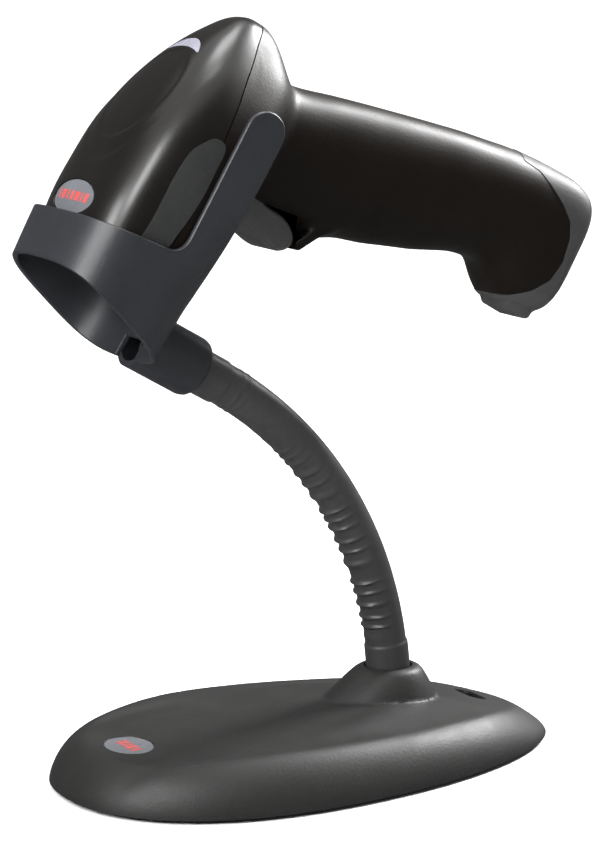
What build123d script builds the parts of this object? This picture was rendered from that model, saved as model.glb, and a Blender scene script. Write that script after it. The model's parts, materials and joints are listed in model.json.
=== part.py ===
from build123d import *
from math import cos, sin, radians, copysign
import os

# A hand-held barcode scanner resting in the cradle of a gooseneck stand.
# Millimetres. The origin is on the floor, under the middle of the whole assembly.
# +Z is up and -Y is the front, the way the scanner looks.

os.makedirs("parts", exist_ok=True)

# ---------------------------------------------------------------- driving dimensions
RUNNING_GAP = 0.3          # between pieces that move past each other
SEAM_GAP = 0.1             # between pieces of one housing

# stand base
BASE_Y = -3.685            # middle of the base outline
BASE_HALF_LENGTH = 90.4
BASE_HALF_WIDTH = 51.2
EGG_POWER = 2.17
EGG_SKEW = -0.176          # the outline is wider at the front
BASE_WALL = 2.5
COVER_FOOT = 1.2           # lower rim of the cover
COVER_TILT = -2.6          # the top falls towards the back, degrees
# height and inset of each level of the cover
COVER_LEVELS = ((COVER_FOOT, 0), (6, 1.1), (10, 3.2), (13.0, 6.6), (15.0, 13))
PLATE_INSET = 3.7
PLATE_BOTTOM = 1.2
PLATE_TOP = 3.2
WEIGHT_INSET = 12
WEIGHT_TOP = 7.6
POST_RADIUS = 3.2
POST_TOP = 13.7            # at the middle of the base
POST_SLOPE = -0.0454
BASE_SCREW_RADIUS = 1.3
BOSS_BORE = 8.7
FOOT_RADIUS = 7
FOOT_DEPTH = 0.9           # how far a foot sits in the plate
# places on the base are measured from the middle of its outline
FOOT_PLACES = ((30, -48.5), (-30, -48.5), (22, 57.5), (-22, 57.5))
BASE_SCREW_PLACES = ((36, -22.5), (-36, -22.5), (27, 35.5), (-27, 35.5))
CABLE_HOLE_Y = 64.2
CABLE_HOLE_WIDTH = 15
CABLE_HOLE_DEPTH = 7
BADGE_Y = -67.1
BADGE_TOP = 17.9
BADGE_HALF_WIDTH = 9.9
BADGE_HALF_LENGTH = 7.4
BADGE_THICKNESS = 1.2
BADGE_GAP = 0.2
NUT_THICKNESS = 2.8
FITTING_RADIUS = 5.0

# gooseneck
NECK_Y = BASE_Y + 31.4
NECK_Z = 18.7              # where the neck starts to curve
NECK_RADIUS = 131.0        # of the curve
NECK_TURN = 60.0           # degrees
NECK_ARC = radians(NECK_TURN) * NECK_RADIUS
MOUTH_AT = 10.6            # distances along the neck from NECK_Z
SOCKET_AT = NECK_ARC + 6.6
JOINT_COUNT = 5
JOINT_PITCH = (SOCKET_AT - MOUTH_AT) / JOINT_COUNT
JOINTS_AT = [MOUTH_AT + JOINT_PITCH * (number + 0.5) for number in range(JOINT_COUNT)]
LINK_END_GAP = 1.3         # each side of a joint
SLEEVE_RADIUS = 7.0
CORE_RADIUS = 4.6
CORE_BORE = 2.8
COLLAR_RADIUS = 7.7
COLLAR_LENGTH = 8.6
BOSS_MOUTH_Z = NECK_Z + MOUTH_AT
# height, half width, half length and shift of each level of the mound
BOSS_LEVELS = (
    (10.0, 17.5, 25.0, -6.0),
    (18.5, 15.6, 21.0, -4.6),
    (24.5, 12.8, 15.0, -2.2),
    (BOSS_MOUTH_Z, 10.4, 10.4, 0),
)

# scanner, in its own directions: x to its left, back away from the nose, up
SCAN_TILT = 60.0           # the scan axis points this far below level
SOCKET_BACK = -10.27       # the socket's axis
NECK_END_UP = -53.6
NECK_END_Y = NECK_Y - NECK_RADIUS * (1 - cos(radians(NECK_TURN)))
NECK_END_Z = NECK_Z + NECK_RADIUS * sin(radians(NECK_TURN))
TILT_COS = cos(radians(SCAN_TILT))
TILT_SIN = sin(radians(SCAN_TILT))
SCAN_Y = NECK_END_Y - SOCKET_BACK * TILT_COS + NECK_END_UP * TILT_SIN
SCAN_Z = NECK_END_Z - SOCKET_BACK * TILT_SIN - NECK_END_UP * TILT_COS
SCANNER = Plane(origin=(0, SCAN_Y, SCAN_Z), x_dir=(1, 0, 0), z_dir=(0, -TILT_SIN, TILT_COS))

WALL = 2.2
HEAD_POWER = 3.0
# back, half width, top, bottom
HEAD_STATIONS = (
    (3, 27.3, 20.0, -18.6),
    (22, 28.6, 21.2, -20.6),
    (44, 29.0, 19.4, -24.0),
    (64, 27.0, 14.7, -28.0),
    (80, 22.0, 8.4, -30.0),
    (90, 15.0, 2.2, -26.0),
    (96, 6.5, -6.0, -17.0),
)
# back and up of the line where the cover meets the housing
SEAM_POINTS = ((-5, -2.6), (61, -3.0), (110, -13.9))
HANDLE_POWER = 2.4
# up, rear, front, half width
HANDLE_STATIONS = (
    (-18, 84.5, 44.0, 17.5),
    (-33, 85.6, 42.8, 17.0),
    (-50, 90.0, 44.4, 15.8),
    (-66, 94.2, 47.8, 15.5),
    (-81, 98.1, 53.0, 15.4),
    (-97, 102.0, 58.7, 15.7),
    (-109, 104.3, 63.8, 16.0),
    (-118, 105.8, 65.8, 16.3),
    (-127, 106.6, 61.0, 16.5),
    (-135, 107.0, 57.0, 16.5),
    (-143, 106.6, 56.4, 16.0),
    (-147.5, 104.6, 57.6, 14.8),
    (-149.8, 99.0, 62.0, 11.5),
)
# back and up along the edge of the end cap
CAP_CURVE = ((110, -108), (103.5, -119.5), (99.3, -128.2), (92, -139.3), (86, -142.4), (78.7, -143.8),
             (71.4, -142.6), (65.3, -138.7), (60.6, -133.6), (57, -127), (50, -112))
CAP_LIP = (53.6, 62, -147.6, -134.8)    # back and up ranges of the step at the toe of the cap
CAP_LIP_HALF_WIDTH = 11.0
JACK_BACK = 72.0
JACK_WIDTH = 11.8
JACK_DEPTH = 6.8
JACK_HALF_WIDTH = 7.4
JACK_END = -149.6
GUARD_OUTLINE = ((38.0, -53.2), (38.2, -55.4), (42.4, -57.4), (45.6, -59.8), (47.8, -64.5),
                 (58.0, -66.0), (58.0, -56.5), (46.0, -55.0))
GUARD_HALF_WIDTH = 8.5
LENS_BACK = 78.0
LENS_UP = -1.0
HEAD_BADGE_BACK = 18.7
HEAD_BADGE_UP = 20.2
HEAD_BADGE_HALF_WIDTH = 12.4
HEAD_BADGE_HALF_LENGTH = 5.7
HEAD_BADGE_THICKNESS = 0.9
PAD_OUTLINE = ((12, 10.3), (26, 9.4), (43.8, 6.4), (51, 1.8), (47, -1.6), (38, -2.3), (12, -2.3))
PAD_THICKNESS = 0.25
PAD_INNER_X = 15           # the pads are on the head's flanks, outside this

# trigger
TRIGGER_OUTLINE = ((47, -22.6), (41.4, -26), (38, -31), (36, -36), (34.9, -41), (34.5, -45),
                   (35, -48.5), (36.6, -50.8), (39, -51.9), (41.4, -51.4), (43.4, -49.2), (44.8, -46.2),
                   (45.8, -42.2), (46, -38.4), (47, -34), (53, -29.6), (53.2, -23))
TRIGGER_HALF_WIDTH = 9.0
PIVOT_BACK = 50.0
PIVOT_UP = -26.0
PIN_RADIUS = 1.5
PIN_CLEARANCE = 0.05
SPRING_OUTER = 2.7
SPRING_WIRE = 0.9
SWITCH_BACK = 51.6
SWITCH_UP = -42.0
NIB_END = 49.0             # the nib meets the switch button when the trigger is pulled
EAR_INNER = TRIGGER_HALF_WIDTH + RUNNING_GAP
EAR_OUTER = EAR_INNER + 3

# cradle
CUP_WALL = 2.0
CUP_POWER = 3.2
# back, half width, top, bottom
CUP_STATIONS = (
    (-24, 29.1, 23.3, -21.3),
    (4, 30.6, 24.4, -22.7),
    (20, 31.2, 24.9, -27.0),
    (45, 32.0, 25.6, -38.0),
    (72, 32.6, 26.2, -42.0),
)
SOCKET_RADIUS = 10.0
SOCKET_BOTTOM = NECK_END_UP + (SOCKET_AT - NECK_ARC)
SOCKET_FLOOR = -31.0
SOCKET_TOP = -21.4
RECESS_HALF_WIDTH = 6.6
RECESS_FLOOR = -28.0

# scan engine, inside the head
ENGINE_FLOOR = -7.0
MIRROR_BACK = 52.0
MIRROR_UP = 2.5
BOARD_THICKNESS = 1.6
ENGINE_HALF_WIDTH = 20.0
ENGINE_FRONT = 14.0
ENGINE_REAR = 64.0
ENGINE_SHEET = 1.6
ENGINE_SCREW_PLACES = ((16.5, 18), (-16.5, 18), (14, 60), (-14, 60))
BOARD_TOP = ENGINE_FLOOR - 4
LASER_X = -12.5
LASER_UP = MIRROR_UP - 2
LASER_FRONT = 44.0
BEEPER_X = 8.0
BEEPER_BACK = 40.0
LED_BACK = 74.0
LED_BOARD_TOP = -3.7
HOUSING_SCREW_PLACES = ((16.5, 71), (-16.5, 71))
CAP_SCREW_BACK = 92.0
CAP_SCREW_UP = -143.5


# ---------------------------------------------------------------- places
def across(back):
    """Plane square to the scan axis: X to the left, Y up."""
    origin = SCANNER.from_local_coords((0, back, 0))
    return Plane(origin=origin, x_dir=SCANNER.x_dir, z_dir=-SCANNER.y_dir)


def side(x):
    """Plane along the symmetry plane: X backwards, Y up."""
    origin = SCANNER.from_local_coords((x, 0, 0))
    return Plane(origin=origin, x_dir=SCANNER.y_dir, z_dir=SCANNER.x_dir)


def level(up):
    """Plane along the scan axis: X to the left, Y backwards."""
    origin = SCANNER.from_local_coords((0, 0, up))
    return Plane(origin=origin, x_dir=SCANNER.x_dir, z_dir=SCANNER.z_dir)


def neck_point(distance):
    """Point on the neck's centreline."""
    angle = min(distance, NECK_ARC) / NECK_RADIUS
    beyond = max(distance - NECK_ARC, 0)
    y = NECK_Y - NECK_RADIUS * (1 - cos(angle)) - beyond * sin(angle)
    z = NECK_Z + NECK_RADIUS * sin(angle) + beyond * cos(angle)
    return (0, y, z)


def neck_plane(distance):
    """Plane square to the neck's centreline."""
    angle = min(distance, NECK_ARC) / NECK_RADIUS
    return Plane(origin=neck_point(distance), x_dir=(1, 0, 0), z_dir=(0, -sin(angle), cos(angle)))


# ---------------------------------------------------------------- shapes
def oval(plane, half_width, high, low, power):
    """Rounded closed section, symmetrical in x."""
    middle = (high + low) / 2
    half_height = (high - low) / 2
    points = []
    for step in range(20):
        across_part = cos(radians(18 * step))
        along_part = sin(radians(18 * step))
        x = copysign(abs(across_part) ** (2 / power), across_part) * half_width
        y = copysign(abs(along_part) ** (2 / power), along_part) * half_height
        points.append((x, middle + y))
    with BuildSketch(plane) as section:
        with BuildLine():
            Spline(*points, periodic=True)
        make_face()
    return section.sketch


def head_body(inset=0.0, mode=Mode.ADD):
    """The head, or its hollow when inset."""
    sections = []
    for number, (back, half_width, top, bottom) in enumerate(HEAD_STATIONS):
        if number == 0 and inset > 0:
            back = back - 2
        if number == len(HEAD_STATIONS) - 1:
            back = back - inset
        sections.append(oval(across(back), half_width - inset, top - inset, bottom + inset, HEAD_POWER))
    loft(sections, mode=mode)


def handle_body(inset=0.0, mode=Mode.ADD):
    """The handle and its foot, or their hollow when inset."""
    sections = []
    for number, (up, rear, front, half_width) in enumerate(HANDLE_STATIONS):
        if number == len(HANDLE_STATIONS) - 1:
            up = up + inset
        sections.append(oval(level(up), half_width - inset, rear - inset, front + inset, HANDLE_POWER))
    loft(sections, mode=mode)


def cup_body(inset=0.0, mode=Mode.ADD):
    """The cradle's wall, before it is trimmed."""
    sections = []
    for back, half_width, top, bottom in CUP_STATIONS:
        sections.append(oval(across(back), half_width - inset, top - inset, bottom + inset, CUP_POWER))
    loft(sections, mode=mode)


def block(x_range, back_range, up_range, mode=Mode.ADD):
    """Rectangular block in the scanner's directions."""
    x_low, x_high = x_range
    back_low, back_high = back_range
    with BuildSketch(level(up_range[0])) as outline:
        with Locations(((x_low + x_high) / 2, (back_low + back_high) / 2)):
            Rectangle(x_high - x_low, back_high - back_low)
    extrude(outline.sketch, amount=up_range[1] - up_range[0], mode=mode)


def rod(plane, x, y, radius, length, mode=Mode.ADD):
    """Round rod standing on a plane."""
    with BuildSketch(plane) as outline:
        with Locations((x, y)):
            Circle(radius)
    extrude(outline.sketch, amount=length, mode=mode)


def screw(plane, x, y, head_radius, head_height, shank_radius, length):
    """Pan-head screw, its head on the far side of the plane."""
    rod(plane, x, y, shank_radius, length)
    rod(plane, x, y, head_radius, -head_height)


def profile(points, half_width, mode=Mode.ADD):
    """Prism over a side outline, the same width to left and right."""
    with BuildSketch(side(0)) as outline:
        with BuildLine():
            Polyline(*points, close=True)
        make_face()
    extrude(outline.sketch, amount=half_width, both=True, mode=mode)


def seam_side(above, mode):
    """Keep what is above or below the seam between cover and housing."""
    shift = SEAM_GAP / 2 if above else -SEAM_GAP / 2
    far = 80 if above else -200
    line = [(back, up + shift) for back, up in SEAM_POINTS]
    profile(line + [(line[-1][0], far), (line[0][0], far)], 60, mode)


def cap_side(grow, mode):
    """The part of the handle above the end cap's edge."""
    with BuildSketch(side(0)) as outline:
        with BuildLine():
            edge = Spline(*[(back, up - grow) for back, up in CAP_CURVE])
            Polyline(edge @ 1, (0, CAP_CURVE[-1][1] - grow), (0, 60), (CAP_CURVE[0][0] + 12, 60),
                     (CAP_CURVE[0][0] + 12, CAP_CURVE[0][1] - grow), edge @ 0)
        make_face()
    extrude(outline.sketch, amount=60, both=True, mode=mode)


def egg(plane, inset):
    """Outline of the base, drawn in from its edge."""
    half_length = BASE_HALF_LENGTH - inset
    half_width = BASE_HALF_WIDTH - inset
    points = []
    for step in range(24):
        along = cos(radians(15 * step))
        aside = sin(radians(15 * step))
        reach = (abs(along) ** EGG_POWER + abs(aside) ** EGG_POWER) ** (-1 / EGG_POWER)
        x = half_width * aside * reach * (1 + EGG_SKEW * along * reach)
        points.append((x, half_length * along * reach))
    with BuildSketch(plane) as outline:
        with BuildLine():
            Spline(*points, periodic=True)
        make_face()
    return outline.sketch


def base_level(z, tilt=0.0):
    """Plane over the base, tipped about the X axis."""
    return Plane(origin=(0, BASE_Y, z), x_dir=(1, 0, 0), z_dir=(0, -sin(radians(tilt)), cos(radians(tilt))))


def base_slab(inset, low, high, mode=Mode.ADD):
    """Flat slab of the base's outline."""
    extrude(egg(base_level(low), inset), amount=high - low, mode=mode)


def cable_hole(low, high, margin=0.0):
    """The slot that the scanner's cord passes through."""
    with BuildSketch(base_level(low)) as outline:
        with Locations((0, CABLE_HOLE_Y)):
            SlotOverall(CABLE_HOLE_WIDTH + 2 * margin, CABLE_HOLE_DEPTH + 2 * margin)
    extrude(outline.sketch, amount=high - low, mode=Mode.SUBTRACT)


# ---------------------------------------------------------------- stand base
def base_shape(inset, mode):
    """The cover's outside, or its hollow when inset."""
    sections = []
    for number, (z, step) in enumerate(COVER_LEVELS):
        height = z - inset
        tilt = COVER_TILT * number / (len(COVER_LEVELS) - 1)
        sections.append(egg(base_level(height, tilt), step + inset))
    loft(sections, mode=mode)


def boss_body(inset, mode):
    """The mound round the foot of the neck."""
    sections = []
    for z, half_width, half_length, shift in BOSS_LEVELS:
        with BuildSketch(Plane.XY.offset(z)) as ring:
            with Locations((0, NECK_Y + shift)):
                Ellipse(half_width - inset, half_length - inset)
        sections.append(ring.sketch)
    loft(sections, mode=mode)


with BuildPart() as base_cover:
    base_shape(0, Mode.ADD)
    base_shape(BASE_WALL, Mode.SUBTRACT)
    boss_body(0, Mode.ADD)
    rod(Plane.XY.offset(WEIGHT_TOP), 0, NECK_Y, BOSS_BORE, 40, Mode.SUBTRACT)
    for x, y in BASE_SCREW_PLACES:
        rod(Plane.XY.offset(PLATE_TOP), x, BASE_Y + y, POST_RADIUS, POST_TOP + POST_SLOPE * y - PLATE_TOP)
        rod(Plane.XY.offset(PLATE_TOP), x, BASE_Y + y, BASE_SCREW_RADIUS, 8, Mode.SUBTRACT)
    cable_hole(0, 30)
    with BuildSketch(base_level(BADGE_TOP - BADGE_THICKNESS)):
        with Locations((0, BADGE_Y)):
            Ellipse(BADGE_HALF_WIDTH + BADGE_GAP, BADGE_HALF_LENGTH + BADGE_GAP)
    extrude(amount=8, mode=Mode.SUBTRACT)
base_cover.part.label = "base_cover"
export_step(base_cover.part, "parts/base_cover.step")

with BuildPart() as base_badge:
    with BuildSketch(base_level(BADGE_TOP - BADGE_THICKNESS)):
        with Locations((0, BADGE_Y)):
            Ellipse(BADGE_HALF_WIDTH, BADGE_HALF_LENGTH)
    extrude(amount=BADGE_THICKNESS)
base_badge.part.label = "base_badge"
export_step(base_badge.part, "parts/base_badge.step")

with BuildPart() as base_weight:
    base_slab(WEIGHT_INSET, PLATE_TOP, WEIGHT_TOP)
    rod(Plane.XY.offset(PLATE_TOP), 0, NECK_Y, 5.2, 10, Mode.SUBTRACT)
    for x, y in BASE_SCREW_PLACES:
        rod(Plane.XY.offset(PLATE_TOP), x, BASE_Y + y, POST_RADIUS + 0.5, 10, Mode.SUBTRACT)
    cable_hole(0, 30, 1.0)
    rod(Plane.XY.offset(PLATE_TOP), 0, NECK_Y, 8.6, 3.2, Mode.SUBTRACT)
base_weight.part.label = "base_weight"
export_step(base_weight.part, "parts/base_weight.step")

with BuildPart() as base_plate:
    base_slab(PLATE_INSET, PLATE_BOTTOM, PLATE_TOP)
    for x, y in FOOT_PLACES:
        rod(Plane.XY.offset(PLATE_BOTTOM), x, BASE_Y + y, FOOT_RADIUS, FOOT_DEPTH, Mode.SUBTRACT)
    for x, y in BASE_SCREW_PLACES:
        rod(Plane.XY.offset(PLATE_BOTTOM), x, BASE_Y + y, 1.5, 10, Mode.SUBTRACT)
        rod(Plane.XY.offset(PLATE_BOTTOM), x, BASE_Y + y, 3.0, 1.1, Mode.SUBTRACT)
    cable_hole(0, 30)
base_plate.part.label = "base_plate"
export_step(base_plate.part, "parts/base_plate.step")

with BuildPart() as rubber_feet:
    for x, y in FOOT_PLACES:
        rod(Plane.XY, x, BASE_Y + y, FOOT_RADIUS, PLATE_BOTTOM + FOOT_DEPTH)
rubber_feet.part.label = "rubber_feet"
export_step(rubber_feet.part, "parts/rubber_feet.step")

with BuildPart() as base_screws:
    for x, y in BASE_SCREW_PLACES:
        screw(Plane.XY.offset(PLATE_BOTTOM + 1.1), x, BASE_Y + y, 2.8, 1.0, 1.3, 8.5)
base_screws.part.label = "base_screws"
export_step(base_screws.part, "parts/base_screws.step")


# ---------------------------------------------------------------- gooseneck
def neck_tube(start, end, outer, inner):
    """Stretch of round tube along the neck."""
    with BuildSketch(neck_plane(start)) as ring:
        Circle(outer)
        Circle(inner, mode=Mode.SUBTRACT)
    with BuildLine() as centreline:
        bend_end = min(end, NECK_ARC)
        if start < NECK_ARC:
            ThreePointArc(neck_point(start), neck_point((start + bend_end) / 2), neck_point(bend_end))
        if end > NECK_ARC:
            Line(neck_point(max(start, NECK_ARC)), neck_point(end))
    sweep(ring.sketch, path=centreline.line)


LINK_STARTS = [3.0] + [place + LINK_END_GAP for place in JOINTS_AT]
LINK_ENDS = [place - LINK_END_GAP for place in JOINTS_AT] + [SOCKET_AT + 13.0]

for number in range(JOINT_COUNT + 1):
    start = LINK_STARTS[number]
    end = LINK_ENDS[number]
    with BuildPart() as neck_sleeve:
        neck_tube(start, end, SLEEVE_RADIUS, CORE_RADIUS)
    neck_sleeve.part.label = f"neck_sleeve_{number + 1}"
    export_step(neck_sleeve.part, f"parts/neck_sleeve_{number + 1}.step")
    with BuildPart() as neck_core:
        neck_tube(start, end, CORE_RADIUS, CORE_BORE)
    neck_core.part.label = f"neck_core_{number + 1}"
    export_step(neck_core.part, f"parts/neck_core_{number + 1}.step")

with BuildPart() as neck_lower_collar:
    neck_tube(MOUTH_AT + 0.2, MOUTH_AT + COLLAR_LENGTH, COLLAR_RADIUS, SLEEVE_RADIUS)
neck_lower_collar.part.label = "neck_lower_collar"
export_step(neck_lower_collar.part, "parts/neck_lower_collar.step")

with BuildPart() as neck_upper_collar:
    neck_tube(SOCKET_AT - COLLAR_LENGTH, SOCKET_AT - 0.2, COLLAR_RADIUS, SLEEVE_RADIUS)
neck_upper_collar.part.label = "neck_upper_collar"
export_step(neck_upper_collar.part, "parts/neck_upper_collar.step")

with BuildPart() as neck_lower_fitting:
    rod(Plane.XY.offset(PLATE_TOP + 0.6), 0, NECK_Y, FITTING_RADIUS, WEIGHT_TOP - PLATE_TOP - 0.6)
    rod(Plane.XY.offset(WEIGHT_TOP), 0, NECK_Y, 8.0, 5.0)
    rod(Plane.XY.offset(WEIGHT_TOP + 5), 0, NECK_Y, SLEEVE_RADIUS, NECK_Z + 3 - WEIGHT_TOP - 5.2)
neck_lower_fitting.part.label = "neck_lower_fitting"
export_step(neck_lower_fitting.part, "parts/neck_lower_fitting.step")

with BuildPart() as neck_lower_nut:
    with BuildSketch(Plane.XY.offset(PLATE_TOP + 0.2)):
        with Locations((0, NECK_Y)):
            RegularPolygon(8.2, 6)
            Circle(FITTING_RADIUS, mode=Mode.SUBTRACT)
    extrude(amount=NUT_THICKNESS)
neck_lower_nut.part.label = "neck_lower_nut"
export_step(neck_lower_nut.part, "parts/neck_lower_nut.step")

with BuildPart() as neck_upper_fitting:
    rod(level(SOCKET_FLOOR - 2.8), 0, SOCKET_BACK, SLEEVE_RADIUS, 2.7)
    rod(level(SOCKET_FLOOR - 2.8), 0, SOCKET_BACK, 1.6, 10, Mode.SUBTRACT)
neck_upper_fitting.part.label = "neck_upper_fitting"
export_step(neck_upper_fitting.part, "parts/neck_upper_fitting.step")

with BuildPart() as neck_upper_screw:
    screw(level(RECESS_FLOOR), 0, SOCKET_BACK, 4.6, -3.0, 1.5, -5.6)
    with BuildSketch(level(RECESS_FLOOR + 1.6)):
        with Locations((0, SOCKET_BACK)):
            RegularPolygon(1.9, 6)
    extrude(amount=3, mode=Mode.SUBTRACT)
neck_upper_screw.part.label = "neck_upper_screw"
export_step(neck_upper_screw.part, "parts/neck_upper_screw.step")

# ---------------------------------------------------------------- cradle
with BuildPart() as cradle:
    cup_body()
    cup_body(CUP_WALL, Mode.SUBTRACT)
    with BuildSketch(side(0)):
        with BuildLine():
            front = Line((-20.2, -30), (-1.2, 29))
            rear = Line(front @ 1, (12.2, 29))
            drop = Line(rear @ 1, (14.2, 6))
            notch = Spline(drop @ 1, (16.2, -1.6), (24, -4.1), (34, -4.3), tangents=((0.09, -1), (1, 0)))
            arm = Line(notch @ 1, (58.8, -4.6))
            tip = ThreePointArc(arm @ 1, (67.4, -12.0), (58.0, -19.4))
            under = Line(tip @ 1, (5.5, -19.6))
            Polyline(under @ 1, (1.8, -22), (1.8, -30), front @ 0)
        make_face()
    extrude(amount=60, both=True, mode=Mode.INTERSECT)
    rod(level(SOCKET_BOTTOM), 0, SOCKET_BACK, SOCKET_RADIUS, SOCKET_TOP - SOCKET_BOTTOM)
    rod(level(SOCKET_BOTTOM - 1), 0, SOCKET_BACK, SLEEVE_RADIUS + 0.9, 1 + SOCKET_FLOOR - SOCKET_BOTTOM,
        Mode.SUBTRACT)
    rod(level(SOCKET_FLOOR - 1), 0, SOCKET_BACK, 1.7, 10, Mode.SUBTRACT)
    rod(level(RECESS_FLOOR), 0, SOCKET_BACK, RECESS_HALF_WIDTH, 20, Mode.SUBTRACT)
    block((-RECESS_HALF_WIDTH, RECESS_HALF_WIDTH), (-26, SOCKET_BACK), (RECESS_FLOOR, -10), Mode.SUBTRACT)
cradle.part.label = "cradle"
export_step(cradle.part, "parts/cradle.step")

# ---------------------------------------------------------------- scanner housing
def crescent(grow, mode):
    """Moon-shaped light window, its round side to the back."""
    with BuildSketch(level(LENS_UP)) as moon:
        with Locations((0, LENS_BACK - 4)):
            Circle(8 + grow)
        with Locations((0, LENS_BACK - 9.5)):
            Circle(10.4 - grow, mode=Mode.SUBTRACT)
    extrude(moon.sketch, amount=20, mode=mode)


with BuildPart() as head_cover:
    head_body()
    head_body(WALL, Mode.SUBTRACT)
    seam_side(True, Mode.INTERSECT)
    crescent(SEAM_GAP, Mode.SUBTRACT)
    with BuildSketch(level(HEAD_BADGE_UP)):
        with Locations((0, HEAD_BADGE_BACK)):
            Ellipse(HEAD_BADGE_HALF_WIDTH + BADGE_GAP, HEAD_BADGE_HALF_LENGTH + BADGE_GAP)
    extrude(amount=5, mode=Mode.SUBTRACT)
head_cover.part.label = "head_cover"
export_step(head_cover.part, "parts/head_cover.step")

with BuildPart() as led_lens:
    head_body()
    head_body(WALL, Mode.SUBTRACT)
    crescent(0, Mode.INTERSECT)
led_lens.part.label = "led_lens"
export_step(led_lens.part, "parts/led_lens.step")

with BuildPart() as head_badge:
    with BuildSketch(level(HEAD_BADGE_UP)):
        with Locations((0, HEAD_BADGE_BACK)):
            Ellipse(HEAD_BADGE_HALF_WIDTH, HEAD_BADGE_HALF_LENGTH)
    extrude(amount=HEAD_BADGE_THICKNESS)
head_badge.part.label = "head_badge"
export_step(head_badge.part, "parts/head_badge.step")

for name, direction in (("side_pad_left", 1), ("side_pad_right", -1)):
    with BuildPart() as side_pad:
        head_body(-PAD_THICKNESS)
        head_body(0, Mode.SUBTRACT)
        with BuildSketch(side(PAD_INNER_X * direction)):
            with BuildLine():
                Polyline(*PAD_OUTLINE, close=True)
            make_face()
        extrude(amount=30 * direction, mode=Mode.INTERSECT)
    side_pad.part.label = name
    export_step(side_pad.part, f"parts/{name}.step")

with BuildPart() as handle_housing:
    head_body()
    seam_side(False, Mode.INTERSECT)
    handle_body()
    head_body(WALL, Mode.SUBTRACT)
    handle_body(WALL, Mode.SUBTRACT)
    cap_side(-SEAM_GAP, Mode.INTERSECT)
    block((-EAR_OUTER, -EAR_INNER), (44, 56), (PIVOT_UP - 6, PIVOT_UP + 4))
    block((EAR_INNER, EAR_OUTER), (44, 56), (PIVOT_UP - 6, PIVOT_UP + 4))
    rod(side(-EAR_OUTER - 1), PIVOT_BACK, PIVOT_UP, PIN_RADIUS, 2 * EAR_OUTER + 2, Mode.SUBTRACT)
    block((-EAR_INNER, EAR_INNER), (28, 50.6), (-54.9, -20), Mode.SUBTRACT)
    block((-EAR_INNER, EAR_INNER), (50, 60), (-34, -20), Mode.SUBTRACT)
    profile(GUARD_OUTLINE, GUARD_HALF_WIDTH)
handle_housing.part.label = "handle_housing"
export_step(handle_housing.part, "parts/handle_housing.step")

with BuildPart() as end_cap:
    handle_body()
    block((-CAP_LIP_HALF_WIDTH, CAP_LIP_HALF_WIDTH), CAP_LIP[:2], CAP_LIP[2:])
    handle_body(WALL, Mode.SUBTRACT)
    cap_side(SEAM_GAP, Mode.SUBTRACT)
    block((-JACK_HALF_WIDTH - 0.2, JACK_HALF_WIDTH + 0.2), (JACK_BACK - 6.2, JACK_BACK + 6.4),
          (-156, -144), Mode.SUBTRACT)
end_cap.part.label = "end_cap"
export_step(end_cap.part, "parts/end_cap.step")

with BuildPart() as cable_jack:
    block((-JACK_HALF_WIDTH, JACK_HALF_WIDTH), (JACK_BACK - 6, JACK_BACK + 6.2), (JACK_END, JACK_END + 16))
    block((-JACK_WIDTH / 2, JACK_WIDTH / 2), (JACK_BACK - JACK_DEPTH / 2, JACK_BACK + JACK_DEPTH / 2),
          (JACK_END - 1, JACK_END + 12.5), Mode.SUBTRACT)
    block((-3, 3), (JACK_BACK, JACK_BACK + JACK_DEPTH / 2 + 1.6), (JACK_END - 1, JACK_END + 10),
          Mode.SUBTRACT)
cable_jack.part.label = "cable_jack"
export_step(cable_jack.part, "parts/cable_jack.step")

# ---------------------------------------------------------------- trigger
with BuildPart() as trigger:
    profile(TRIGGER_OUTLINE, TRIGGER_HALF_WIDTH)
    block((-1.5, 1.5), (45, NIB_END), (SWITCH_UP - 1.2, SWITCH_UP + 1.2))
    rod(side(-20), PIVOT_BACK, PIVOT_UP, PIN_RADIUS + PIN_CLEARANCE, 40, Mode.SUBTRACT)
    block((-3.4, 3.4), (46, 60), (-32, -20), Mode.SUBTRACT)
trigger.part.label = "trigger"
export_step(trigger.part, "parts/trigger.step")

with BuildPart() as trigger_pin:
    rod(side(-EAR_OUTER), PIVOT_BACK, PIVOT_UP, PIN_RADIUS, 2 * EAR_OUTER)
trigger_pin.part.label = "trigger_pin"
export_step(trigger_pin.part, "parts/trigger_pin.step")

with BuildPart() as trigger_spring:
    rod(side(-3), PIVOT_BACK, PIVOT_UP, SPRING_OUTER, 6)
    rod(side(-3), PIVOT_BACK, PIVOT_UP, SPRING_OUTER - SPRING_WIRE, 6, Mode.SUBTRACT)
    for turn in range(4):
        with BuildSketch(side(-2.5 + turn * 1.5)) as groove:
            with Locations((PIVOT_BACK, PIVOT_UP)):
                Circle(SPRING_OUTER + 1)
                Circle(SPRING_OUTER - SPRING_WIRE / 2, mode=Mode.SUBTRACT)
        extrude(groove.sketch, amount=0.5, mode=Mode.SUBTRACT)
trigger_spring.part.label = "trigger_spring"
export_step(trigger_spring.part, "parts/trigger_spring.step")

with BuildPart() as trigger_switch:
    block((-3, 3), (SWITCH_BACK, SWITCH_BACK + 5), (SWITCH_UP - 3, SWITCH_UP + 3))
    rod(across(SWITCH_BACK + 0.5), 0, SWITCH_UP, 1.5, 1.3)
    block((-3, 8.4), (SWITCH_BACK + 3, SWITCH_BACK + 5), (SWITCH_UP - 8, SWITCH_UP - 3))
    block((5.4, 8.4), (SWITCH_BACK + 5, 74.4), (SWITCH_UP - 8, SWITCH_UP - 5.4))
trigger_switch.part.label = "trigger_switch"
export_step(trigger_switch.part, "parts/trigger_switch.step")

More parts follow.
